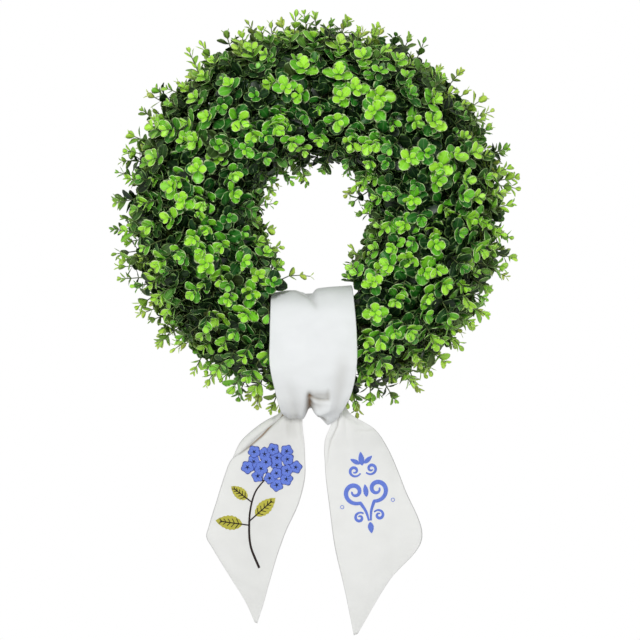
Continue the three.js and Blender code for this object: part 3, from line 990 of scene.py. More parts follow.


# %% Colours of a leaf
# From the oldest leaf to the youngest; the nearly black ones paint the shade deep in the wreath.
AGE_AND_SHADE_COLOURS = [
    (0.0, (0.003, 0.015, 0.004)),
    (0.27, (0.006, 0.050, 0.008)),
    (0.48, (0.024, 0.200, 0.014)),
    (0.71, (0.155, 0.570, 0.020)),
    (1.0, (0.400, 0.850, 0.045)),
]
OLIVE = (0.18, 0.20, 0.035, 1)
SUNLIT = (0.66, 0.77, 0.14, 1)
# The rim colours are the leaf's pale edge, brightened as a painted highlight, strongest on young leaves.
OLD_RIM_AND_HIGHLIGHT = (0.34, 0.62, 0.16, 1)
YOUNG_RIM_AND_HIGHLIGHT = (0.84, 0.97, 0.54, 1)
RIM_STRENGTHS = (0.42, 0.95)  # on the oldest leaves and on young ones
RIM_PLACE = (0.72, 0.9)  # where the rim begins and is full, from the rib at 0 to the edge at 1
TIP_PLACE = (0.95, 1.0)
RIB_PLACE = (0.12, 0.0)
RIB_STRENGTH = 0.16
STALK_SHADE = 0.16  # towards its stalk, a leaf is painted as if this much older, for the shade there
PATCH_AGE = 0.07  # and in patches this much older or younger
LEAF_AGE_STRAY = 0.09  # as are whole leaves


# %% The age and the rim of a leaf
def leaf_age(tree, place, tint, cloud):
    """The age of the leaf, with what shifts it from leaf to leaf and from place to place, and painted shade
    at the stalk.
    """
    patch = range_node(tree, cloud, 0.0, 1.0, -PATCH_AGE, PATCH_AGE)
    own = range_node(tree, tint["X"], 0.0, 1.0, -LEAF_AGE_STRAY, LEAF_AGE_STRAY)
    stalk = range_node(tree, place["Y"], 0.0, 0.4, -STALK_SHADE, 0.0)
    age = math_node(tree, "ADD", math_node(tree, "ADD", place["Z"], patch), own)
    return math_node(tree, "ADD", age, stalk)


def rim_and_highlight(tree, place, age):
    """How pale the leaf is: at its rim and its tip, with a painted highlight, and a little along its rib."""
    edge = math_node(tree, "ABSOLUTE", place["X"])
    rim = range_node(tree, edge, *RIM_PLACE)
    tip = range_node(tree, place["Y"], *TIP_PLACE)
    rib = math_node(tree, "MULTIPLY", range_node(tree, edge, *RIB_PLACE), RIB_STRENGTH)
    pale = math_node(tree, "MAXIMUM", math_node(tree, "MAXIMUM", rim, tip), rib)
    return math_node(tree, "MULTIPLY", pale, range_node(tree, age, 0.05, 0.5, *RIM_STRENGTHS))


# %% Leaf material
def leaf_material():
    material, tree, shader = new_material("boxwood_leaf")
    place = attribute_parts(tree, "leaf_place")[1]
    tint = attribute_parts(tree, "leaf_tint")[1]
    where = object_place(tree)
    cloud = noise_node(tree, where, 90.0, 3.0)
    age = leaf_age(tree, place, tint, cloud)
    olive = mix_node(tree, tint["Y"], ramp_node(tree, age, AGE_AND_SHADE_COLOURS), OLIVE)
    lit = math_node(tree, "MULTIPLY", tint["Z"], range_node(tree, age, 0.1, 0.9))
    sunlit = mix_node(tree, lit, olive, SUNLIT)
    rim_and_highlight_colour = mix_node(tree, range_node(tree, age, 0.1, 0.7), OLD_RIM_AND_HIGHLIGHT, YOUNG_RIM_AND_HIGHLIGHT)
    colour = mix_node(tree, rim_and_highlight(tree, place, age), sunlit, rim_and_highlight_colour)
    tree.links.new(colour, shader.inputs["Base Color"])
    tree.links.new(range_node(tree, cloud, 0.0, 1.0, 0.26, 0.44), shader.inputs["Roughness"])
    shader.inputs["Specular IOR Level"].default_value = 0.32
    add_relief(tree, shader, noise_node(tree, where, 500.0, 2.0), 0.15, 0.0005)
    return material


# %% Stem and packed stem materials
def mottled_material(name, dark, bright, scale, roughness, depth):
    """A dull surface mottled by noise: bark, dry stems and the like."""
    material, tree, shader = new_material(name)
    noise = noise_node(tree, object_place(tree), scale, 5.0)
    colour = ramp_node(tree, noise, [(0.3, dark), (0.7, bright)])
    tree.links.new(colour, shader.inputs["Base Color"])
    shader.inputs["Roughness"].default_value = roughness
    add_relief(tree, shader, noise, 0.6, depth)
    return material


LEAF = leaf_material()
STEM = mottled_material("green_stem", (0.05, 0.09, 0.02), (0.15, 0.18, 0.06), 160.0, 0.55, 0.0004)
PACKED = mottled_material(
    "packed_stems", (0.010, 0.013, 0.006), (0.045, 0.038, 0.018), 120.0, 0.8, 0.001
)
print("materials", [material.name for material in (LEAF, STEM, PACKED)])

# %% [markdown]
# ## The bunches
# Fourteen bunches go round the wreath from one edge of the sash to the other, and a last one is pressed
# under the sash. Each is one piece that stands for its CAD node. Nearly all sprigs are thrown at random, with
# a seed for each bunch, so every run gives the same wreath. A few beside the sash are placed one by one,
# because there the eye finds each one against the white.

# %% One bunch as a piece
TOP_PAIRS = 4  # of a sprig that stands before the cloth, only these pairs are made


def dress_bunch(label, sprigs, chance, span, slimness, trim, squeeze, before_cloth=()):
    """One piece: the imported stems, the sprigs and, with a full band, the stems behind."""
    shape = Shape()
    start_of, end_of = span
    add_band(shape, start_of, end_of, slimness)
    leaves = []
    for sprig in sprigs:
        grown, stem = sprig_leaves(sprig, chance)
        grown = trim(grown)
        if grown:
            add_stem(shape, stem)
        leaves += grown
    if slimness == FULL:
        leaves += add_fan(shape, chance, start_of(RING_RADIUS), end_of(RING_RADIUS), trim)
    add_leaves(shape, leaves)
    shape.points = [squeeze(pressed_by_door(points)) for points in shape.points]
    for sprig in before_cloth:
        grown, stem = sprig_leaves(sprig, chance)
        add_stem(shape, stem[:TOP_PAIRS])
        add_leaves(shape, grown[: 2 * TOP_PAIRS])
    piece = shape.piece(f"leafy_bunch_{label}", [LEAF, STEM, PACKED])
    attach(piece, "root")
    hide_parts(f"sprig_bunch_{label}")
    return len(leaves)


def slab_angle(x, side):
    """The angle at which a circle of some radius crosses the edge of the sash's share of the wreath."""
    return lambda radius: side - math.pi / 2 + math.asin(min(1.0, x / radius))


# %% Sprigs placed beside the sash
def placed_sprig(around, section, reach, spin, size, bend, core=CORE_INWARD, **look):
    """A sprig at an angle round the wreath in radians, and round its section in degrees."""
    return {
        "around": around,
        "section": section * DEGREE,
        "reach": reach,
        "spin": spin,
        "size": size,
        "bend": bend,
        "core": core,
        "youngest": 0,
        **look,
    }


RIGHT_SPRIGS = [
    placed_sprig(-1.12, 168, 62, 0.4, 0.85, 10),
    placed_sprig(-1.09, 122, 70, 1.2, 0.95, 4, light=-0.5),
    placed_sprig(-1.27, 12, 114, 0.4, 0.95, 6),
    placed_sprig(-1.25, 28, 94, 1.0, 1.0, 6),
]
LEFT_SPRIGS = [
    placed_sprig(4.44, 12, 112, 0.8, 0.85, 4),
    placed_sprig(4.25, 174, 75, 0.9, 0.9, 72, lean=-0.4),  # bends far into the hole over the sash
]
# This one stands over the sash's upper left corner.
CORNER_SPRIG = placed_sprig(4.14, 115, 96, 2.0, 1.0, 3, core=CORE_FRONT, light=-0.34, broad=1.0)

# %% Make the bunches
SEED = 4
BESIDE_ANGLE = 0.14  # beside the sash, tips may stand this close to straight below the centre
leaf_count = 0
sprig_count = 0
tips = []
for i in range(SECTORS):
    first = i == 0
    last = i == SECTORS - 1
    low = FIRST_ANGLE + i * SECTOR_ANGLE
    high = low + SECTOR_ANGLE
    chance = np.random.RandomState(SEED + i)
    sprigs = model_sprigs(i, (low + high) / 2, BUNCH_PATTERN + (BESIDE_SASH if first or last else []))
    if first:
        sprigs += RIGHT_SPRIGS
    if last:
        sprigs += LEFT_SPRIGS
    tips += [wreath_point(s["around"], s["section"], s["reach"]) for s in sprigs]
    from_angle = BESIDE_ANGLE - math.pi / 2 if first else low
    to_angle = 3 * math.pi / 2 - BESIDE_ANGLE if last else high
    for layer in (SURFACE, DEPTH):
        marks = tips if layer is SURFACE else []
        sprigs += fill_sprigs(chance, layer, marks, from_angle, to_angle, clear_of_sash)
    start_of = slab_angle(SLAB_RIGHT + SEAT_GAP, 0) if first else (lambda radius, a=low: a)
    end_of = slab_angle(SLAB_LEFT - SEAT_GAP, 2 * math.pi) if last else (lambda radius, a=high: a)
    leaf_count += dress_bunch(
        f"{i + 1:02d}",
        sprigs,
        chance,
        span=(start_of, end_of),
        slimness=FULL,
        trim=beside_sash,
        squeeze=pushed_aside,
        before_cloth=[CORNER_SPRIG] if last else [],
    )
    sprig_count += len(sprigs)
print(f"{sprig_count} sprigs, {leaf_count} leaves")

# %% [markdown]
# ## The bunch under the sash
# The sash presses the leaves below it flat. Little of them shows, but without them one could look through
# the loop from the side. The bunch is made like the others, with a slimmer band and shorter sprigs, and
# with only those leaves that the cloth covers.

# %% The bunch pressed under the sash
PRESSED = (0.72, 0.5)  # the band is slimmer where the sash holds it
PRESSED_SPRIGS = 20
PRESSED_SECTIONS = (10, 145)
PRESSED_REACH = (22, 32)  # beyond the band
PRESSED_SIZE = 0.8
PRESSED_BEND = 4
PRESSED_ANGLE = 0.34  # how far they stand from straight below the centre
PRESSED_GAP = 14  # from the leaves to the cloth over them
PRESSED_LEAST = 4  # a sprig that reaches less far out of the band isn't made
SIDE_ROOM = 2


def inside_loop(leaves):
    """The leaves that the sash covers with room to spare."""
    kept = []
    for leaf in leaves:
        tip = leaf["base"] + leaf["along"] * leaf["length"]
        if min(loop_room(leaf["base"]), loop_room(tip)) < PRESSED_GAP:
            continue
        if SLAB_LEFT + SIDE_ROOM < tip[0] < SLAB_RIGHT - SIDE_ROOM:
            kept.append(leaf)
    return kept


# %% Make the pressed bunch
chance = np.random.RandomState(SEED + SECTORS)
pressed = model_sprigs(SECTORS, -math.pi / 2, UNDER_SASH)
for _ in range(PRESSED_SPRIGS):
    around = -math.pi / 2 + chance.uniform(-PRESSED_ANGLE, PRESSED_ANGLE)
    section = chance.uniform(*PRESSED_SECTIONS) * DEGREE
    pressed.append(
        {
            "around": around,
            "section": section,
            "reach": float(core_reach(section)) * PRESSED[0] + chance.uniform(*PRESSED_REACH),
            "spin": chance.uniform(0, math.pi),
            "size": PRESSED_SIZE,
            "bend": PRESSED_BEND,
            "youngest": OLD_PAIR,
        }
    )
for sprig in pressed:
    sprig["core"] = float(core_reach(sprig["section"])) * PRESSED[0]
    room = loop_room(wreath_point(sprig["around"], sprig["section"], sprig["reach"]))
    sprig["reach"] += min(0.0, room - PRESSED_GAP)
dress_bunch(
    "under_sash",
    [sprig for sprig in pressed if sprig["reach"] > sprig["core"] + PRESSED_LEAST],
    chance,
    span=(slab_angle(SLAB_LEFT, 0), slab_angle(SLAB_RIGHT, 0)),
    slimness=PRESSED,
    trim=inside_loop,
    squeeze=lambda points: points,
)

# %% [markdown]
# ## The twisted vines
# The ring that carries the bunches is a few vines twisted round each other. Only the back of the wreath
# shows them. Each is a tube that winds round the ring's centre line, so their crests lie where the CAD
# ring has its own.

# %% Vines
VINE_COUNT = 4
VINE_TURNS = 2
VINE_STEPS = 180
VINE_SIDES = 12
VINE_RADIUS = VINE_CREST / 2 + 0.6
VINE_KNOTS = 0.05  # how much thinner a vine is between its knots
VINE_RIBS = 0.03


def vines():
    """The vines, each with its place along, around and its number as the bark's own coordinates."""
    shape = Shape()
    around = np.linspace(0, 2 * math.pi, VINE_STEPS, endpoint=False)
    turn = np.arange(VINE_SIDES) * 2 * math.pi / VINE_SIDES
    for k in range(VINE_COUNT):
        section = -k * 2 * math.pi / VINE_COUNT - around * VINE_TURNS
        centres = wreath_point(around, section, VINE_CREST - VINE_RADIUS)
        outward = wreath_point(around, section, 1) - wreath_point(around, section, 0)
        ahead = np.roll(centres, -1, axis=0) - np.roll(centres, 1, axis=0)
        ahead /= np.linalg.norm(ahead, axis=1)[:, None]
        outward -= ahead * np.sum(outward * ahead, axis=1)[:, None]
        outward /= np.linalg.norm(outward, axis=1)[:, None]
        other = np.cross(ahead, outward)
        swell = 1 + VINE_KNOTS * np.sin(around * 23 + k) * np.sin(around * 11 + 2 * k) - VINE_KNOTS
        reach = VINE_RADIUS * swell[:, None] * (1 + VINE_RIBS * np.sin(5 * turn)[None, :])
        rings = (
            centres[:, None, :]
            + outward[:, None, :] * (np.cos(turn) * reach)[..., None]
            + other[:, None, :] * (np.sin(turn) * reach)[..., None]
        )
        faces = tube_faces(VINE_STEPS + 1, VINE_SIDES, False, False)
        faces = [group % (VINE_STEPS * VINE_SIDES) for group in faces]
        lap = np.repeat(around, VINE_SIDES) * RING_RADIUS
        across = np.tile(turn * VINE_RADIUS, VINE_STEPS)
        shape.add(rings.reshape(-1, 3), faces, 0, bark=np.stack([lap, across, lap * 0 + k], axis=-1))
    return shape


# %% [markdown]
# ## Bark
# Bark has long fibres, dark in between and pale where they are worn. A picture of bark would have to be
# wrapped round each vine. A noise needs no picture: its coordinates run along and around the vine, and
# stretching them turns its round spots into fibres.

# %% Bark
BARK_TONES = [(0.3, (0.035, 0.018, 0.009)), (0.55, (0.115, 0.066, 0.034)), (0.75, (0.23, 0.15, 0.09))]


def stretched(tree, vector, scale):
    """Coordinates scaled apart, so that a noise becomes fibres."""
    return shader_node(tree, "ShaderNodeMapping", {"Vector": vector, "Scale": scale}).outputs["Vector"]


def bark_material():
    material, tree, shader = new_material("vine_bark")
    bark = shader_node(tree, "ShaderNodeAttribute", attribute_name="bark").outputs["Vector"]
    fibres = noise_node(tree, stretched(tree, bark, (0.04, 0.45, 1.0)), 2.2, 8.0, Roughness=0.65)
    tree.links.new(ramp_node(tree, fibres, BARK_TONES), shader.inputs["Base Color"])
    shader.inputs["Roughness"].default_value = 0.85
    add_relief(tree, shader, fibres, 0.9, 0.0015)
    return material


# %% Make the vines
vine_piece = vines().piece("twisted_vines", [bark_material()])
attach(vine_piece, "root")
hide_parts("vine_ring")

# %% [markdown]
# ## The sash
# The sash is one long strip of doubled cloth. It is laid over the front, goes through the hole and down
# the back, and both tails hang from the knot below. A cloth simulation would find its own folds, and the
# photo shows particular ones, so the sash is a ribbon between two smooth edge lines, as in the CAD model,
# with each fold pressed into it as a valley or a ridge along a line.

# %% Smooth lines through stations
def smooth_line(points):
    """A centripetal Catmull-Rom curve through points, as a function of a share from 0 to 1."""
    points = np.asarray(points, float)
    padded = np.vstack([2 * points[0] - points[1], points, 2 * points[-1] - points[-2]])

    def at(share):
        place = np.clip(share, 0, 1) * (len(points) - 1)
        i = np.minimum(place.astype(int), len(points) - 2)
        w = (place - i)[:, None]
        p0, p1, p2, p3 = padded[i], padded[i + 1], padded[i + 2], padded[i + 3]
        d0 = np.sqrt(np.linalg.norm(p1 - p0, axis=1))[:, None]
        d1 = np.sqrt(np.linalg.norm(p2 - p1, axis=1))[:, None]
        d2 = np.sqrt(np.linalg.norm(p3 - p2, axis=1))[:, None]
        m1 = ((p1 - p0) / d0 - (p2 - p0) / (d0 + d1) + (p2 - p1) / d1) * d1
        m2 = ((p2 - p1) / d1 - (p3 - p1) / (d1 + d2) + (p3 - p2) / d2) * d1
        return p1 + m1 * w + (3 * (p2 - p1) - 2 * m1 - m2) * w**2 + (2 * (p1 - p2) + m1 + m2) * w**3

    return at


# %% A fold along a line, seen from the front
def fold(x, z, line):
    """Depth and painted shade of a fold at points (x, z). The line's rows are x, z, depth, half width, tint.
    """
    line = np.asarray(line, float)
    best = np.full(x.shape, np.inf)
    depth = np.zeros(x.shape)
    tint = np.zeros(x.shape)
    for a, b in zip(line[:-1], line[1:]):
        run = b[:2] - a[:2]
        share = np.clip(((x - a[0]) * run[0] + (z - a[1]) * run[1]) / np.dot(run, run), 0, 1)
        away = np.hypot(x - a[0] - share * run[0], z - a[1] - share * run[1])
        here = a[None, :] + share.ravel()[:, None] * (b - a)[None, :]
        deep, wide, shade_paint = (here[:, k].reshape(x.shape) for k in (2, 3, 4))
        score = away / wide
        nearer = score < best
        best = np.where(nearer, score, best)
        depth = np.where(nearer, deep * np.exp(-(score**2)), depth)
        # The tint is painted shade, strongest on the fold's line.
        tint = np.where(nearer, shade_paint * np.exp(-((score * 1.2) ** 2)), tint)
    return depth, tint


# %% The section of doubled cloth
SASH_THICK = 1.1
EVEN_SHARE = 0.72  # the rest of the columns' spacing crowds them towards the sash's edges
HEM_PLACE = 3.2  # from the edge to the hem's line, where the cloth is drawn in
HEM_WIDTH = 0.9
HEM_DEPTH = 0.35


def cloth_half_thickness(edge):
    """Half the cloth's thickness by the distance from its edge, which is rounded, with the hem's line."""
    half = SASH_THICK / 2 * np.sqrt(np.clip(1 - np.maximum(0, 1 - edge / SASH_THICK) ** 2, 0, 1))
    return half * (1 - HEM_DEPTH * np.exp(-(((edge - HEM_PLACE) / HEM_WIDTH) ** 2)))


def both_faces(front, back):
    """Rings round the cloth: over its front, and back again over its back."""
    return np.concatenate([front, back[:, -2:0:-1]], axis=1)


def add_cloth(shape, rings, place, tone):
    """Adds a closed shell of rings. The tone is 0 for the loop's white and 1 for that of the tails."""
    count = rings.shape[0] * rings.shape[1]
    shape.add(
        rings.reshape(-1, 3),
        tube_faces(rings.shape[0], rings.shape[1]),
        # its third value is the painted shade of the folds
        cloth_place=place.reshape(-1, 3),
        cloth_tone=np.full((count, 3), tone),
    )


# %% A ribbon of doubled cloth
def ribbon(shape, left_points, right_points, s, columns, crown, relief, tone):
    """Adds cloth between two edge lines, at shares s along them. Returns its mean width and its length."""
    even = np.linspace(0, 1, columns + 1)
    t = EVEN_SHARE * even + (1 - EVEN_SHARE) * (0.5 - 0.5 * np.cos(math.pi * even))
    left = smooth_line(left_points)(s)
    right = smooth_line(right_points)(s)
    base = left[:, None, :] * (1 - t)[None, :, None] + right[:, None, :] * t[None, :, None]
    ahead = np.gradient((left + right) / 2, axis=0)
    normal = np.cross(right - left, ahead)
    normal /= np.linalg.norm(normal, axis=1)[:, None]
    grid_s, grid_t = np.meshgrid(s, t, indexing="ij")
    height = crown(grid_s) * 4 * grid_t * (1 - grid_t)
    depth, tint = relief(grid_s, grid_t, base[..., 0], base[..., 2] - CENTRE_Z)
    middle = base + normal[:, None, :] * (height + depth)[..., None]

    face = np.cross(np.gradient(middle, axis=1), np.gradient(middle, axis=0))
    face /= np.linalg.norm(face, axis=2)[..., None] + 1e-9
    run = np.linalg.norm(right - left, axis=1)
    edge = np.minimum(grid_t, 1 - grid_t) * run[:, None]
    half = cloth_half_thickness(edge)[..., None]
    steps = np.linalg.norm(np.diff((left + right) / 2, axis=0), axis=1)
    length = np.cumsum(np.concatenate([[0], steps]))
    # The place's third value is the folds' painted shade.
    place = np.stack(
        [grid_t * run.mean(), np.broadcast_to(length[:, None], grid_t.shape), np.clip(tint, 0, 1)], axis=-1
    )
    add_cloth(shape, both_faces(middle + face * half, middle - face * half), both_faces(place, place), tone)
    return float(np.mean(run)), float(length[-1])


# %% [markdown]
# ## The folds of the wrapped part
# The wrapped part is nearly smooth, with a dip in its top edge, and ends below in two lobes that are drawn
# into the knot. Low waves all over keep it from looking like card. Such folds could be sculpted, but a list
# of lines can be read and put right. Each point of a line also has a tint, which paints the shade inside the
# fold into the cloth's colour.

# %% Wrinkles and folds
WAVES = 9
WAVE_PITCHES = (22, 70)


def soft_wrinkles(x, z, size, seed):
    """Low waves in all directions, as in pressed cloth that has been handled."""
    chance = np.random.RandomState(seed)
    total = np.zeros(x.shape)
    for _ in range(WAVES):
        turn = chance.uniform(0, math.pi)
        pitch = chance.uniform(*WAVE_PITCHES)
        phase = chance.uniform(0, 2 * math.pi)
        total += np.sin((x * math.cos(turn) + z * math.sin(turn)) * 2 * math.pi / pitch + phase)
    return total * size / math.sqrt(WAVES)


def all_folds(x, z, lines):
    """The depths and tints, which are painted shade, of several folds together."""
    depth = np.zeros(x.shape)
    tint = np.zeros(x.shape)
    for line in lines:
        deep, shade_paint = fold(x, z, line)
        depth += deep
        tint += shade_paint
    return depth, tint


def bell(value, middle, spread):
    """1 in the middle, and next to nothing two spreads away from it."""
    return np.exp(-(((value - middle) / spread) ** 2))


# %% The folds of the loop
# Each point's last value, the tint, paints the fold's shade: grey, and brown where it is deepest.
LOOP_FOLDS = [
    # The dip in the top edge, with a valley running down from it, its shade painted in.
    [
        (-11.6, -108, -15, 8, 0),
        (-11.6, -122, -12, 7, 0),
        (-7, -134, -5.5, 5.5, 0.12),
        (-1, -145, -2, 4.5, 0.1),
        (3, -153, 0, 4.5, 0),
    ],
    # The top edge slopes down to it from the left.
    [(-24, -108, -4, 6, 0), (-24, -122, -3.4, 6, 0), (-18, -132, -1, 5, 0)],
    # The painted shade under the rolled top edge, left of the dip.
    [(-46, -119, 0, 2, 0.06), (-28, -121.5, -0.8, 2.2, 0.2), (-14, -127.5, -1.4, 2.4, 0.4)],
    # The flap beside the cleft: a shallow dent, its dark lower edge and its end, with painted shade.
    [(-9, -274, -2.6, 6, 0.26), (4, -276.5, -3.4, 7, 0.36), (14, -276.5, -3, 6, 0.34)],
    [
        (-11, -277.5, -4, 3.2, 0.5),
        (-3.8, -281, -5, 3, 0.5),
        (4.3, -283.5, -5, 2.8, 0.42),
        (12, -283.5, -4, 2.8, 0.36),
        (16.5, -283, -2, 2.6, 0.24),
    ],
    [(16.6, -269, -1.4, 3.4, 0.14), (17, -283, -3, 3.4, 0.22)],
    # The hollow below it, with painted shade, then the swell of the ledge.
    [(-6, -290, -3, 5, 0.3), (3, -291, -3, 6, 0.22), (11, -289, -1, 5, 0.06)],
    [(-4, -304, 3.4, 4.5, 0), (5, -303, 4.2, 4.5, 0), (17, -298, 2.6, 5, 0)],
    # The tuck across the right lobe, with its shade painted dark.
    [
        (-5, -314, -1.5, 3, 0.4),
        (0, -316, -4, 3.4, 0.8),
        (5, -314.5, -4.4, 3.2, 0.85),
        (10, -314.5, -3.4, 2.8, 0.6),
        (16, -316, 0, 2.4, 0.1),
    ],
    # Soft pulls towards the gathers, and the painted shade of the left lobe.
    [(-44, -262, -1.4, 9, 0), (-34, -296, -2.4, 6, 0), (-30, -318, -3, 5, 0.1)],
    [(-42, -250, 0, 16, 0), (-38, -280, 0, 17, 0.12), (-32, -318, 0, 15, 0.22)],
    # A soft fold at the right side, with painted shade.
    [
        (38, -212, 0, 14, 0.02),
        (38, -236, -1.0, 13, 0.16),
        (35, -262, -1.8, 12, 0.2),
        (31, -285, -2.2, 8, 0.1),
        (29, -306, -2.6, 6, 0.04),
    ],
]
# The cleft's tint paints its shade, brown where it is deepest.
CLEFT = [
    (-7.5, -332, -26, 9, 0.5),
    (-10.7, -304, -22, 6.4, 1),
    (-11.2, -290, -15, 5.4, 1),
    (-12, -280, -9, 4.4, 0.8),
    (-13, -268, 0, 3.6, 0),
]  # between the two lobes, through the front and the gathers behind

# %% The form of the loop
# Places along the loop are shares of it, from its start below the lobes over the front and down the back.
LOOP_FRONT = (0.06, 0.62)  # the folds are pressed into this stretch
CLEFT_END = 0.5
CLEFT_AGAIN = 0.93
TOP_TILT = 5.5  # the top edge is higher at its right end
TOP_PLACE, TOP_SPREAD = 0.53, 0.08
LOBES_PLACE, LOBES_SPREAD = 0.125, 0.05
LOOP_WRINKLES = 0.55
LOOP_GATHERS, LOOP_PLEATS = 3, 3  # how deep the cloth is gathered at its ends, and in how many pleats
START_SPREAD, END_SPREAD = 0.07, 0.1
LOBES = np.array(
    [
        [-51, -16],
        [-43, -9],
        [-26, -6],
        [-18, -7],
        [-8, -9],
        [-2, -10.5],
        [2.6, -15],
        [7.3, -8.6],
        [13, -1.2],
        [16.6, 2],
        [25, -3],
        [32, -9],
        [36, -19],
    ]
)  # x, and how far the bottom edge hangs lower there


def loop_relief(s, t, x, z):
    """How far the cloth stands out at each point, and its tint, which is painted shade."""
    folds, painted_shades = all_folds(x, z, LOOP_FOLDS)
    cleft, dark = fold(x, z, CLEFT)
    front = (s > LOOP_FRONT[0]) & (s < LOOP_FRONT[1])
    depth = soft_wrinkles(x, z, LOOP_WRINKLES, 3) + np.where(front, folds, 0)
    depth += np.where((s < CLEFT_END) | (s > CLEFT_AGAIN), cleft, 0)
    depth += TOP_TILT * (2 * t - 1) * bell(s, TOP_PLACE, TOP_SPREAD)
    depth += np.interp(x, LOBES[:, 0], LOBES[:, 1]) * bell(s, LOBES_PLACE, LOBES_SPREAD)
    gather = bell(s, 0, START_SPREAD) + bell(s, 1, END_SPREAD)
    depth += gather * LOOP_GATHERS * np.cos(t * 2 * math.pi * LOOP_PLEATS + 0.6)
    return depth, np.where(front, painted_shades, 0) + np.where(s < CLEFT_END, dark, 0)


def loop_crown(s):
    """How far the cloth bulges outward in its middle."""
    place = s * (len(LOOP_STATIONS) - 1)
    return np.interp(place, np.arange(len(LOOP_STATIONS)), LOOP_STATIONS[:, 4])


# %% [markdown]
# ## The tails
# Both tails come from behind the lobes, spread to their full width and end in points. Each is a ribbon like
# the wrapped part, between edges of its own, with pleats at its top that fade on the way down.

# %% The tails' edges: [x left, y left, z left, x right, y right, z right]
LEFT_TAIL = [
    (-50, -22, -292, -22, -32, -296),
    (-56, -28, -312, -22, -37, -318),
    (-86, -15, -338, -19, -31, -350),
    (-114, -2, -365, -18, -22, -378),
    (-131, 2, -378, -17.5, -17, -398),
    (-141, 1, -402, -21, -14, -420),
    (-153, -2, -440, -29, -11, -447),
    (-165, -5, -479, -47, -9, -486),
    (-168.5, -6, -495, -54, -8, -505),
    (-160, -6, -511, -60, -7, -522),
    (-130, -6, -560, -74, -6, -570),
    (-110, -5, -592, -81, -5, -596),
    (-95, -4, -625, -91, -4, -627),
]
RIGHT_TAIL = [
    (12, -36, -292, 42, -32, -292),
    (22, -37, -316, 50, -32, -306),
    (12, -31, -348, 88, -15, -331),
    (13, -18, -398, 109, 0, -362),
    (19, -12, -450, 134, 0, -422),
    (27, -9, -510, 160, -4, -498),
    (42, -6, -575, 110, -6, -562),
    (56, -4, -645, 62, -4, -643),
]

# %% The tails' folds
# The tint of each point paints the shade of the fold.
LEFT_TAIL_FOLDS = [
    # The brown line inside the upper edge, a painted shadow line along the fold.
    [
        (-46, -302, 2, 2.2, 1),
        (-67, -322, 2, 2.2, 1),
        (-82.4, -339.6, 1.8, 2.1, 1),
        (-102.5, -357.3, 1.2, 2, 0.8),
        (-118, -369, 0, 1.8, 0.4),
    ],
    # The tail hangs in the lobe's shade, which is painted in and fades downwards.
    [
        (-44, -310, 0, 34, 0.12),
        (-70, -390, 0, 46, 0.12),
        (-100, -480, 0, 56, 0.06),
        (-92, -600, 0, 40, 0.02),
    ],
    # The cream pocket under the lobe, in painted shade, with a pleat at each side.
    [(-38, -308, 3, 10, 0.16), (-37, -326, 2, 9, 0.12), (-36, -348, 0, 8, 0.02)],
    [(-47, -312, 2.4, 3, 0.12), (-45, -330, 1.8, 3, 0.08), (-43, -350, 0, 4, 0)],
    [(-27, -316, 2.0, 3, 0.1), (-24, -345, 1.4, 3, 0.05), (-23, -372, 0, 4, 0)],
]
RIGHT_TAIL_FOLDS = [
    # The line inside the left edge, a painted shadow line.
    [
        (33, -310, 2.4, 1.8, 0.3),
        (31, -325, 2.2, 1.6, 0.3),
        (21.5, -345, 1.8, 1.4, 0.26),
        (17.5, -363, 1.4, 1.3, 0.2),
        (16, -380, 0, 1.2, 0.1),
    ],
    # Creases that fan out from the knot, with a little painted shade.
    [(44, -311, 1.0, 2.8, 0.08), (62, -321, 0.8, 2.8, 0.04), (88, -332, 0.3, 2.8, 0)],
    [(58, -331, 0.6, 2, 0.04), (74, -332, 1.0, 2, 0.1), (90, -331, 0.8, 2, 0.1)],
    [(42, -318, 1.0, 3, 0.04), (44, -340, 0.8, 4, 0), (50, -372, 0, 5, 0)],
]


# %% The form of a tail
TAIL_CROWN = 6
TAIL_WRINKLES = 0.5
TAIL_GATHERS, TAIL_PLEATS = 1.3, 2.5
TAIL_SPREAD = 0.13  # the gathers fade over this share of the tail


def tail_relief(folds, seed):
    """The same for a tail with these folds."""

    def relief(s, t, x, z):
        depth, tint = all_folds(x, z, folds)
        gather = bell(s, 0, TAIL_SPREAD) * TAIL_GATHERS * np.cos(t * 2 * math.pi * TAIL_PLEATS)
        return depth + soft_wrinkles(x, z, TAIL_WRINKLES, seed) + gather, tint

    return relief


def tail(shape, stations, folds, seed, rows, columns):
    stations = np.array(stations, float)
    stations[:, [2, 5]] += CENTRE_Z
    return ribbon(
        shape,
        stations[:, :3],
        stations[:, 3:],
        np.linspace(0, 1, rows + 1),
        columns,
        crown=lambda s: -TAIL_CROWN * np.sin(math.pi * s),
        relief=tail_relief(folds, seed),
        tone=1.0,
    )


# %% [markdown]
# ## The knot
# The sash is tied behind the lobes, where only a little of the knot shows. A real knot would cost much work
# for nothing, so this is a flattened ball with pleats. A narrow ribbon adds the cloth that is folded along
# the left tail's upper edge.

# %% The knot behind the lobes
KNOT_ROWS, KNOT_SIDES = 40, 64
KNOT_HALF = np.array([32.0, 9.0, 11.0])
KNOT_MIDDLE = np.array([-6.0, 6.0, -304.0 + CENTRE_Z])
KNOT_END = 0.02  # the ball's poles are left out, in radians
KNOT_FULLNESS = 0.8  # smaller makes it more like a barrel
KNOT_NOTCH_X = -9.5  # the cleft between the lobes goes on through the knot
KNOT_NOTCH_HALF = 11
KNOT_NOTCH_RISE = 6
KNOT_NOTCH_DEPTH = 0.9
KNOT_CLOTH = (30, 12)  # millimetres of cloth to a radian, from side to side and around


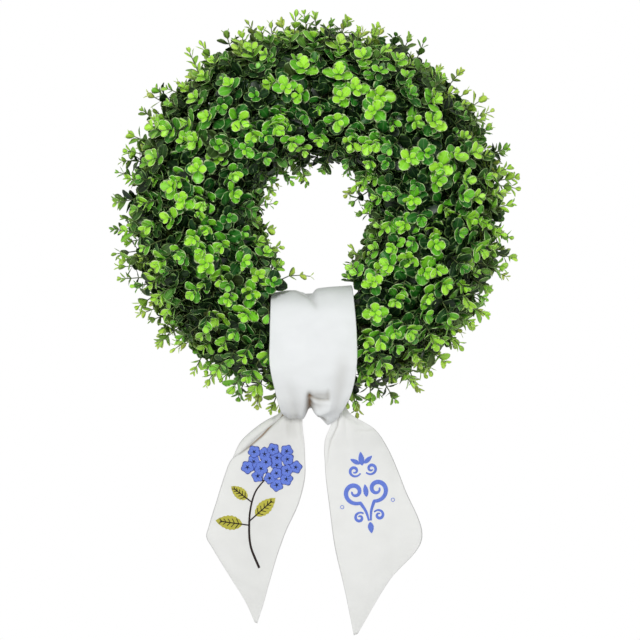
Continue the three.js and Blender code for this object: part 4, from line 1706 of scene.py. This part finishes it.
def knot(shape):
    """Gathered cloth: a flattened ball whose pleats run from side to side."""
    polar = np.linspace(KNOT_END, math.pi - KNOT_END, KNOT_ROWS + 1)[:, None]
    turn = (np.arange(KNOT_SIDES) * 2 * math.pi / KNOT_SIDES)[None, :]
    pleat = 1 + 0.07 * np.sin(turn * 7 + 2.2 * np.cos(polar)) + 0.03 * np.sin(turn * 12 + 1)
    across = np.cos(polar) * np.ones_like(turn)
    girth = np.sin(polar) ** KNOT_FULLNESS
    points = np.stack([across, girth * np.cos(turn) * pleat, girth * np.sin(turn) * pleat], axis=-1)
    points = points * KNOT_HALF + KNOT_MIDDLE
    notch = bell(points[..., 0], KNOT_NOTCH_X, KNOT_NOTCH_HALF)
    below = np.minimum(0, points[..., 2] - KNOT_MIDDLE[2])
    points[..., 2] += notch * (KNOT_NOTCH_RISE - KNOT_NOTCH_DEPTH * below)
    flat = np.zeros_like(across)
    place = np.stack([flat + polar * KNOT_CLOTH[0], flat + turn * KNOT_CLOTH[1], flat], axis=-1)
    add_cloth(shape, points, place, 1.0)


# %% The folded strip along the left tail's upper edge
LEFT_STRIP = [
    (-50, -16, -300, -40, -18, -300),
    (-60, -13, -308, -46, -16, -312),
    (-80, -5, -319, -64, -8, -330),
    (-100, 2, -334, -84, -1, -346),
    (-117, 7, -351, -103, 5, -361),
    (-130, 6, -378, -122, 7, -379),
]

# %% [markdown]
# ## Woven cloth
# The sash is matt white cloth in a plain weave. Two waves, along and across the cloth, multiply into yarns,
# and a stretched noise makes some of them thicker. They follow the cloth's own coordinates, so the weave
# bends with every fold. The tint of a fold is painted shade: it makes the crease grey, or brown where it is
# deepest.

# %% Cloth material
LOOP_WHITE = (0.83, 0.85, 0.86, 1)
TAIL_WHITE = (0.875, 0.88, 0.865, 1)
# Painted shade of the folds: grey, and brown where a fold is deepest.
PAINTED_SHADE_GREY = (0.50, 0.49, 0.46, 1)
PAINTED_SHADE_BROWN = (0.30, 0.19, 0.11, 1)
YARN_PITCH = 0.9
SLUB_STRETCH = (0.12, 0.9, 1.0)  # thicker places in the yarn, long in one direction


def cloth_material():
    """White woven cloth. A fold's tint paints shade on it: grey, and brown in a deep fold."""
    material, tree, shader = new_material("sash_cloth")
    place, place_parts = attribute_parts(tree, "cloth_place")
    tone_parts = attribute_parts(tree, "cloth_tone")[1]
    cloud = noise_node(tree, place, 0.03, 3.0)
    white = mix_node(tree, tone_parts["X"], LOOP_WHITE, TAIL_WHITE)
    mottle = range_node(tree, cloud, 0.0, 1.0, 0.93, 1.04)
    toned = mix_node(tree, 1.0, white, mottle, blend_type="MULTIPLY")
    # A fold's tint, the third value of the place, paints its shade grey and then brown.
    shaded = mix_node(tree, range_node(tree, place_parts["Z"], 0.0, 0.5), toned, PAINTED_SHADE_GREY)
    creased = mix_node(tree, range_node(tree, place_parts["Z"], 0.5, 1.0), shaded, PAINTED_SHADE_BROWN)
    tree.links.new(creased, shader.inputs["Base Color"])
    shader.inputs["Roughness"].default_value = 0.9
    shader.inputs["Sheen Weight"].default_value = 0.25
    shader.inputs["Sheen Roughness"].default_value = 0.5
    yarns = [
        math_node(tree, "SINE", math_node(tree, "MULTIPLY", place_parts[way], 2 * math.pi / YARN_PITCH))
        for way in ("X", "Y")
    ]
    slubs = noise_node(tree, stretched(tree, place, SLUB_STRETCH), 1.0, 4.0)
    weave = math_node(tree, "ADD", math_node(tree, "MULTIPLY", *yarns), slubs)
    add_relief(tree, shader, weave, 0.35, 0.0003)
    return material


# %% Make the sash
LOOP_COLUMNS = 80
TAIL_ROWS, TAIL_COLUMNS = 100, 50
STRIP_ROWS, STRIP_COLUMNS = 40, 10
LOOP_ROWS = np.concatenate(
    [np.linspace(0, 0.06, 12)[:-1], np.linspace(0.06, 0.24, 84)[:-1], np.linspace(0.24, 1, 110)]
)  # closer together where the small folds are

sash_shape = Shape()
loop_left = LOOP_STATIONS[:, [0, 2, 3]] + [0, 0, CENTRE_Z]
loop_right = LOOP_STATIONS[:, [1, 2, 3]] + [0, 0, CENTRE_Z]
loop_width, loop_length = ribbon(
    sash_shape, loop_left, loop_right, LOOP_ROWS, LOOP_COLUMNS, loop_crown, loop_relief, tone=0.0
)
left_length = tail(sash_shape, LEFT_TAIL, LEFT_TAIL_FOLDS, 5, TAIL_ROWS, TAIL_COLUMNS)[1]
right_length = tail(sash_shape, RIGHT_TAIL, RIGHT_TAIL_FOLDS, 8, TAIL_ROWS, TAIL_COLUMNS)[1]
tail(sash_shape, LEFT_STRIP, [], 9, STRIP_ROWS, STRIP_COLUMNS)
knot(sash_shape)
sash_piece = sash_shape.piece("sash_cloth", [cloth_material()])
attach(sash_piece, "root")
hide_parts("sash")
print(f"loop {loop_length:.0f} x {loop_width:.0f}, tails {left_length:.0f} and {right_length:.0f} mm long")

# %% [markdown]
# ## Embroidery
# Thread lies on the cloth in satin stitch: close parallel stitches that swell into low pads and cords. Each
# pad or cord is drawn flat, seen from the front, and its points are then dropped onto the cloth by casting
# rays, so it follows every wave of the tail.

# %% Dropping points onto the cloth
RAY_FROM = -300 * MM  # the y that the rays start at, well before the wreath
sash_tree = BVHTree.FromPolygons(
    [v.co for v in sash_piece.data.vertices], [tuple(p.vertices) for p in sash_piece.data.polygons]
)


def on_cloth(x, z, lift):
    """The point of the cloth's front at x and z (above the centre), raised by a lift."""
    start = Vector((x * MM, RAY_FROM, (z + CENTRE_Z) * MM))
    hit, normal, _, _ = sash_tree.ray_cast(start, Vector((0, 1, 0)))
    if hit is None:
        raise RuntimeError(f"no cloth under the thread at {x:.0f}, {z:.0f}")
    if normal.y > 0:
        normal = -normal
    return np.array(hit) / MM + np.array(normal) * lift


# %% Pads of thread
THREAD_SINK = 0.4  # the lowest points of a pad or cord are this far inside the cloth
# Rings of a pad: their size, and their height as a share. A height below 0 is sunk into the cloth.
PAD_RINGS = [(1.0, -0.3), (0.97, 0.45), (0.78, 0.85), (0.4, 1.0)]


def satin_pad(shape, outline, height, direction, raised=0.0, slot=0):
    """A low dome over an outline of (x, z) points. Its stitches run along the direction."""
    outline = np.asarray(outline, float)
    middle = outline.mean(axis=0)
    points = []
    flat = []
    for scale, share in PAD_RINGS:
        for x, z in middle + (outline - middle) * scale:
            lift = raised + height * share if share > 0 else -THREAD_SINK
            points.append(on_cloth(x, z, lift))
            flat.append((x, z))
    for lift in (raised + height, -THREAD_SINK):
        points.append(on_cloth(*middle, lift))
        flat.append(tuple(middle))
    flat = np.array(flat)
    across = np.array([-direction[1], direction[0]])
    stitch = np.stack([flat @ across, flat @ np.array(direction), np.zeros(len(flat))], axis=-1)
    count = len(outline)
    faces = [tube_faces(len(PAD_RINGS), count, False, False)[0]]
    last = (len(PAD_RINGS) - 1) * count
    top = len(PAD_RINGS) * count
    ring = np.arange(count)
    after = (ring + 1) % count
    faces.append(np.stack([last + ring, last + after, np.full(count, top)], axis=-1))
    faces.append(np.stack([after, ring, np.full(count, top + 1)], axis=-1))
    shape.add(np.array(points), faces, slot, stitch=stitch)


# %% Cords of thread
# The section of a cord, from side to side: a place across as a share of half the width, and a height.
CORD_SECTION = [(-1, -0.35), (-0.8, 0.5), (-0.35, 0.92), (0.35, 0.92), (0.8, 0.5), (1, -0.35)]
STITCH_SLANT = 0.3


def satin_cord(shape, line, widths, height, raised=0.0, slot=0):
    """A cord of slanting stitches along a line of (x, z) points."""
    line = np.asarray(line, float)
    widths = np.broadcast_to(np.asarray(widths, float), len(line))
    ahead = np.gradient(line, axis=0)
    ahead /= np.linalg.norm(ahead, axis=1)[:, None]
    across = np.stack([-ahead[:, 1], ahead[:, 0]], axis=-1)
    length = np.cumsum(np.concatenate([[0], np.linalg.norm(np.diff(line, axis=0), axis=1)]))
    points = []
    stitch = []
    for place, side, width, run in zip(line, across, widths, length):
        for u, share in CORD_SECTION:
            x, z = place + side * u * width / 2
            lift = raised + height * share if share > 0 else -THREAD_SINK
            points.append(on_cloth(x, z, lift))
            stitch.append((run + STITCH_SLANT * u * width, u * width / 2, 0))
    shape.add(np.array(points), tube_faces(len(line), len(CORD_SECTION)), slot, stitch=np.array(stitch))


def curve_through(points, steps):
    """A smooth flat line through a few guide points."""
    guide = [(x, 0, z) for x, z in points]
    return smooth_line(guide)(np.linspace(0, 1, steps))[:, [0, 2]]


# %% [markdown]
# ## Glossy thread
# Embroidery thread has a soft gloss, with a fine ridge for every stitch. A curve for each stitch would take
# far too many triangles, so a pad or cord is one smooth form, and a wave across the stitches makes
# the ridges.

# %% Thread material
THREAD_PITCH = 0.42
THREAD_STRETCH = (2.4, 0.35, 1.0)


def thread_material(name, dark, bright):
    """Glossy parallel threads across the stitch direction."""
    material, tree, shader = new_material(name)
    stitch, parts = attribute_parts(tree, "stitch")
    fibres = noise_node(tree, stretched(tree, stitch, THREAD_STRETCH), 1.6, 4.0)
    tree.links.new(ramp_node(tree, fibres, [(0.32, dark), (0.68, bright)]), shader.inputs["Base Color"])
    shader.inputs["Roughness"].default_value = 0.45
    shader.inputs["Specular IOR Level"].default_value = 0.3
    shader.inputs["Sheen Weight"].default_value = 0.05
    wave = math_node(tree, "SINE", math_node(tree, "MULTIPLY", parts["X"], 2 * math.pi / THREAD_PITCH))
    add_relief(tree, shader, wave, 0.6, 0.0002)
    return material


BLUE_THREAD = thread_material("blue_thread", (0.085, 0.16, 0.72), (0.25, 0.37, 1.0))
# Its dark blue shows round the petals as painted shade.
PETAL_SHADE_THREAD = thread_material("petal_shade_thread", (0.030, 0.045, 0.26), (0.06, 0.09, 0.42))
NAVY_THREAD = thread_material("navy_thread", (0.008, 0.012, 0.05), (0.02, 0.03, 0.11))
BROWN_THREAD = thread_material("brown_thread", (0.012, 0.006, 0.006), (0.032, 0.016, 0.014))
OLIVE_THREAD = thread_material("olive_thread", (0.46, 0.43, 0.040), (0.72, 0.68, 0.110))
print("threads", [m.name for m in (BLUE_THREAD, PETAL_SHADE_THREAD, NAVY_THREAD, BROWN_THREAD, OLIVE_THREAD)])

# %% [markdown]
# ## The flower in thread
# A round head of small five-petalled florets on a bent stem with three leaves. The florets are spread by
# the golden angle, which fills a round head evenly, the way seeds fill a sunflower.

# %% Outlines of the flower's parts
TURN = 2 * math.pi


def circle(steps):
    """Unit vectors round a circle."""
    turn = np.linspace(0, TURN, steps, endpoint=False)
    return np.stack([np.cos(turn), np.sin(turn)], axis=-1)


def along_and_across(angle):
    """Two unit vectors: one at the angle, and one square to it."""
    return np.array([math.cos(angle), math.sin(angle)]), np.array([-math.sin(angle), math.cos(angle)])


def petal_outline(middle, angle, radius):
    """A rounded petal from the floret's middle outward, a little wider towards its end."""
    c, s = circle(14).T
    along = radius * 0.52 + radius * 0.47 * c
    wide = radius * 0.44 * s * (1 + 0.25 * c)
    heading, across = along_and_across(angle)
    return middle + along[:, None] * heading + wide[:, None] * across


def floret_outline(middle, spin, radius):
    """Five low lobes: the darker thread under the petals, which shows round them as painted shade."""
    turn = np.linspace(0, TURN, 30, endpoint=False)
    reach = radius * (0.92 + 0.1 * np.cos(5 * turn))
    return middle + reach[:, None] * np.stack([np.cos(spin + turn), np.sin(spin + turn)], axis=-1)


# %% The flower's head
HEAD_MIDDLE = np.array([-67.0, -386.0])
HEAD_HALF = np.array([41.0, 31.0])
HEAD_TILT = -16 * DEGREE
FLORETS = 18
PETALS = 5
GOLDEN_ANGLE = math.pi * (3 - math.sqrt(5))
FLORET_RADIUS = 10.5
FLORET_SIZES = (0.92, 1.08)
PETAL_SHARE = 0.9  # of the floret's radius, so that the dark thread shows round the petals as painted shade
EYE_RADIUS = 1.9
VEIN_SHARES = (0.1, 0.26, 0.42)
VEIN_WIDTHS = [1.3, 0.9, 0.4]
LAYERS = 3
LAYER_RISE = 0.5  # a floret lies over its neighbours by one or two such steps
UNDER_HEIGHT, PETAL_HEIGHT, VEIN_HEIGHT, EYE_HEIGHT = 0.15, 0.45, 0.2, 0.3
VEIN_LIFT, EYE_LIFT = 0.5, 0.6  # above the cloth, in the lowest layer


def leaned(points, tilt):
    """Flat points turned by an angle."""
    c, s = math.cos(tilt), math.sin(tilt)
    return np.asarray(points) @ np.array([[c, s], [-s, c]])


def add_floret(shape, middle, radius, spin, layer):
    """The dark thread below, for painted shade round the petals, five petals with a vein each, and the eye.
    """
    satin_pad(shape, floret_outline(middle, spin, radius), UNDER_HEIGHT, (1, 0), layer, slot=2)
    for k in range(PETALS):
        angle = spin + k * TURN / PETALS
        heading = along_and_across(angle)[0]
        petal = petal_outline(middle, angle, radius * PETAL_SHARE)
        satin_pad(shape, petal, PETAL_HEIGHT, heading, layer + UNDER_HEIGHT)
        vein = [middle + heading * radius * share for share in VEIN_SHARES]
        satin_cord(shape, vein, VEIN_WIDTHS, VEIN_HEIGHT, layer + VEIN_LIFT, slot=1)
    satin_pad(shape, middle + EYE_RADIUS * circle(8), EYE_HEIGHT, (1, 0), layer + EYE_LIFT, slot=1)


def hydrangea_head():
    chance = np.random.RandomState(12)
    shape = Shape()
    for i in range(FLORETS):
        out = math.sqrt((i + 0.45) / FLORETS)
        turn = i * GOLDEN_ANGLE + 0.5
        middle = HEAD_MIDDLE + leaned(HEAD_HALF * out * along_and_across(turn)[0], HEAD_TILT)
        radius = FLORET_RADIUS * chance.uniform(*FLORET_SIZES)
        add_floret(shape, middle, radius, chance.uniform(0, TURN), LAYER_RISE * (i % LAYERS))
    return shape.piece("thread_florets", [BLUE_THREAD, NAVY_THREAD, PETAL_SHADE_THREAD])


# %% Its stem and leaves
STEM_GUIDE = [(-80, -408), (-93, -425), (-100, -446), (-103, -472), (-101, -508), (-88, -542)]
STEM_STEPS = 60
STEM_WIDTHS = (2.4, 4.1)
STEM_HEIGHT = 0.9
FORK = (-82, -410)  # two short stems part here, below the head
FORK_BENDS = ((-83.5, -405), (-75, -405))
FORK_TIPS = ((-87, -397), (-70, -402))
FORK_CORD = (1.8, 0.6)  # width and height
THREAD_LEAVES = [  # base, tip and width
    ((-99, -442), (-131, -418), 18),
    ((-102, -470), (-63, -435), 21),
    ((-102, -477), (-155, -470), 22),
]
LEAF_HEIGHT = 0.6
LEAF_START = 0.2  # of the midrib, which goes on to MIDRIB_END
MIDRIB_END = 0.86
ON_LEAF = 0.45  # the veins lie this high on the leaf
MIDRIB_CORD = (2.1, 0.5)
SIDE_CORD = (1.5, 0.4)
SIDE_VEINS = 5
FIRST_VEIN, VEIN_STEP = 0.32, 0.12  # where the side veins leave the midrib
VEIN_AHEAD = 4.4
VEIN_REACH, VEIN_SHORTER = 0.33, 0.9  # as a share of the leaf's width, and from one vein to the next
TEETH = 7
TOOTH = 0.06


# %% A leaf in thread
def leaf_outline(base, tip, width):
    """A pointed leaf with small teeth along its edges."""
    base, tip = np.array(base, float), np.array(tip, float)
    run = tip - base
    across = np.array([-run[1], run[0]]) / np.linalg.norm(run)
    share = np.linspace(0, 1, 15)
    teeth = 1 + TOOTH * np.cos(share * TURN * TEETH)
    half = width / 2 * np.sin(math.pi * share**0.85) ** 0.8 * teeth
    one = base + run * share[:, None] + across * half[:, None]
    other = base + run * share[::-1, None] - across * half[::-1, None]
    return np.concatenate([one, other[1:-1]])


def add_thread_leaf(shape, base, tip, width):
    """A leaf that starts a little way up its midrib, with the midrib and pairs of side veins on it."""
    base, tip = np.array(base, float), np.array(tip, float)
    run = tip - base
    direction = run / np.linalg.norm(run)
    across = np.array([-direction[1], direction[0]])
    satin_pad(shape, leaf_outline(base + run * LEAF_START, tip, width), LEAF_HEIGHT, direction, slot=1)
    midrib = curve_through([base, (base + tip) / 2, base + run * MIDRIB_END], 16)
    satin_cord(shape, midrib, *MIDRIB_CORD, ON_LEAF)
    for k in range(SIDE_VEINS):
        foot = base + run * (FIRST_VEIN + VEIN_STEP * k)
        for side in (-1, 1):
            reach = width * VEIN_REACH - VEIN_SHORTER * k
            end = foot + direction * VEIN_AHEAD + side * across * reach
            satin_cord(shape, curve_through([foot, (foot + end) / 2, end], 5), *SIDE_CORD, ON_LEAF)


# %% The stem with its leaves
def hydrangea_stem():
    shape = Shape()
    stem_line = curve_through(STEM_GUIDE, STEM_STEPS)
    satin_cord(shape, stem_line, np.linspace(*STEM_WIDTHS, STEM_STEPS), STEM_HEIGHT)
    for bend, tip in zip(FORK_BENDS, FORK_TIPS):
        satin_cord(shape, curve_through([FORK, bend, tip], 14), *FORK_CORD)
    for base, tip, width in THREAD_LEAVES:
        add_thread_leaf(shape, base, tip, width)
    return shape.piece("thread_stem", [BROWN_THREAD, OLIVE_THREAD])


# %% [markdown]
# ## The scrollwork
# The other tail carries a scroll ornament. It is a mirrored pair of scrolls with a palmette above, in the
# manner of wrought iron, made from spirals whose width swells and tapers.

# %% The parts of the scrollwork
ORNAMENT_MIDDLE = np.array([75.0, -430.0])
ORNAMENT_LEAN = 8 * DEGREE
# Each spiral's middle, first and last radius, start in degrees, turns and steps.
BIG_SPIRAL = ((17, 6), (19, 4), -110, 1.35, 60)
UPPER_SPIRAL = ((13, 38), (10, 2.6), -150, 1.3, 44)
LOWER_SPIRAL = ((15, -34), (9, 2.4), 140, -1.25, 44)
LEAD_GUIDE = [(1.5, -40), (4, -26)]  # the line that leads into the big spiral
BIG_SWELL = (3.0, 4.6, 0.15, 1.4)
SMALL_SWELL = (2.2, 2.8, 0.2, 1.2)
BIG_HEIGHT, SMALL_HEIGHT = 1.0, 0.9
EYELET_MIDDLE = (39, -14)
EYELET_RADIUS = 2.6
EYELET_CORD = (1.1, 0.6)
SIDE_PETAL = ((3, 47), (17, 57), 7)  # base, tip and width
MIDDLE_LEAVES = [  # base, tip, width and height: above, below and between the scrolls
    ((0, 44), (0, 66), 9, 1.0),
    ((0, -42), (0, -60), 9, 1.0),
    ((0, -4), (0, 16), 8, 0.9),
]


# %% Spirals and their widths
def spiral(middle, radii, start_angle, turns, steps):
    """A spiral whose radius shrinks by the same share on each step."""
    share = np.linspace(0, 1, steps)
    radius = radii[0] * (radii[1] / radii[0]) ** share
    angle = start_angle * DEGREE + turns * TURN * share
    return np.stack([middle[0] + radius * np.cos(angle), middle[1] + radius * np.sin(angle)], axis=-1)


def swelling(steps, least, more, start, power):
    """Widths that swell along a scroll and taper towards its end. A larger power swells more suddenly."""
    return least + more * np.sin(np.linspace(start, math.pi, steps)) ** power


def ornament_point(points, side):
    """Mirrors a motif and leans it with the tail."""
    return ORNAMENT_MIDDLE + leaned(np.asarray(points, float) * [side, 1], ORNAMENT_LEAN)


# %% Scroll ornament on the right tail
def scroll_ornament():
    shape = Shape()
    big = spiral(*BIG_SPIRAL)
    lead = curve_through(LEAD_GUIDE + [big[0]], 16)[:-1]
    big = np.concatenate([lead, big])
    upper = spiral(*UPPER_SPIRAL)
    lower = spiral(*LOWER_SPIRAL)
    big_widths = swelling(len(big), *BIG_SWELL)
    small_widths = swelling(len(upper), *SMALL_SWELL)
    turn = np.linspace(0, TURN, 21)
    eyelet = EYELET_MIDDLE + EYELET_RADIUS * np.stack([np.cos(turn), np.sin(turn)], axis=-1)
    petal = leaf_outline(*SIDE_PETAL)
    for side in (-1, 1):
        satin_cord(shape, ornament_point(big, side), big_widths, BIG_HEIGHT)
        satin_cord(shape, ornament_point(upper, side), small_widths, SMALL_HEIGHT)
        satin_cord(shape, ornament_point(lower, side), small_widths, SMALL_HEIGHT)
        satin_cord(shape, ornament_point(eyelet, side), *EYELET_CORD)
        satin_pad(shape, ornament_point(petal, side), SMALL_HEIGHT, (1, 0))
    for base, tip, width, height in MIDDLE_LEAVES:
        satin_pad(shape, ornament_point(leaf_outline(base, tip, width), 1), height, (1, 0))
    return shape.piece("thread_scrolls", [BLUE_THREAD])


# %% Make the embroidery
for piece in (hydrangea_head(), hydrangea_stem(), scroll_ornament()):
    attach(piece, "root")
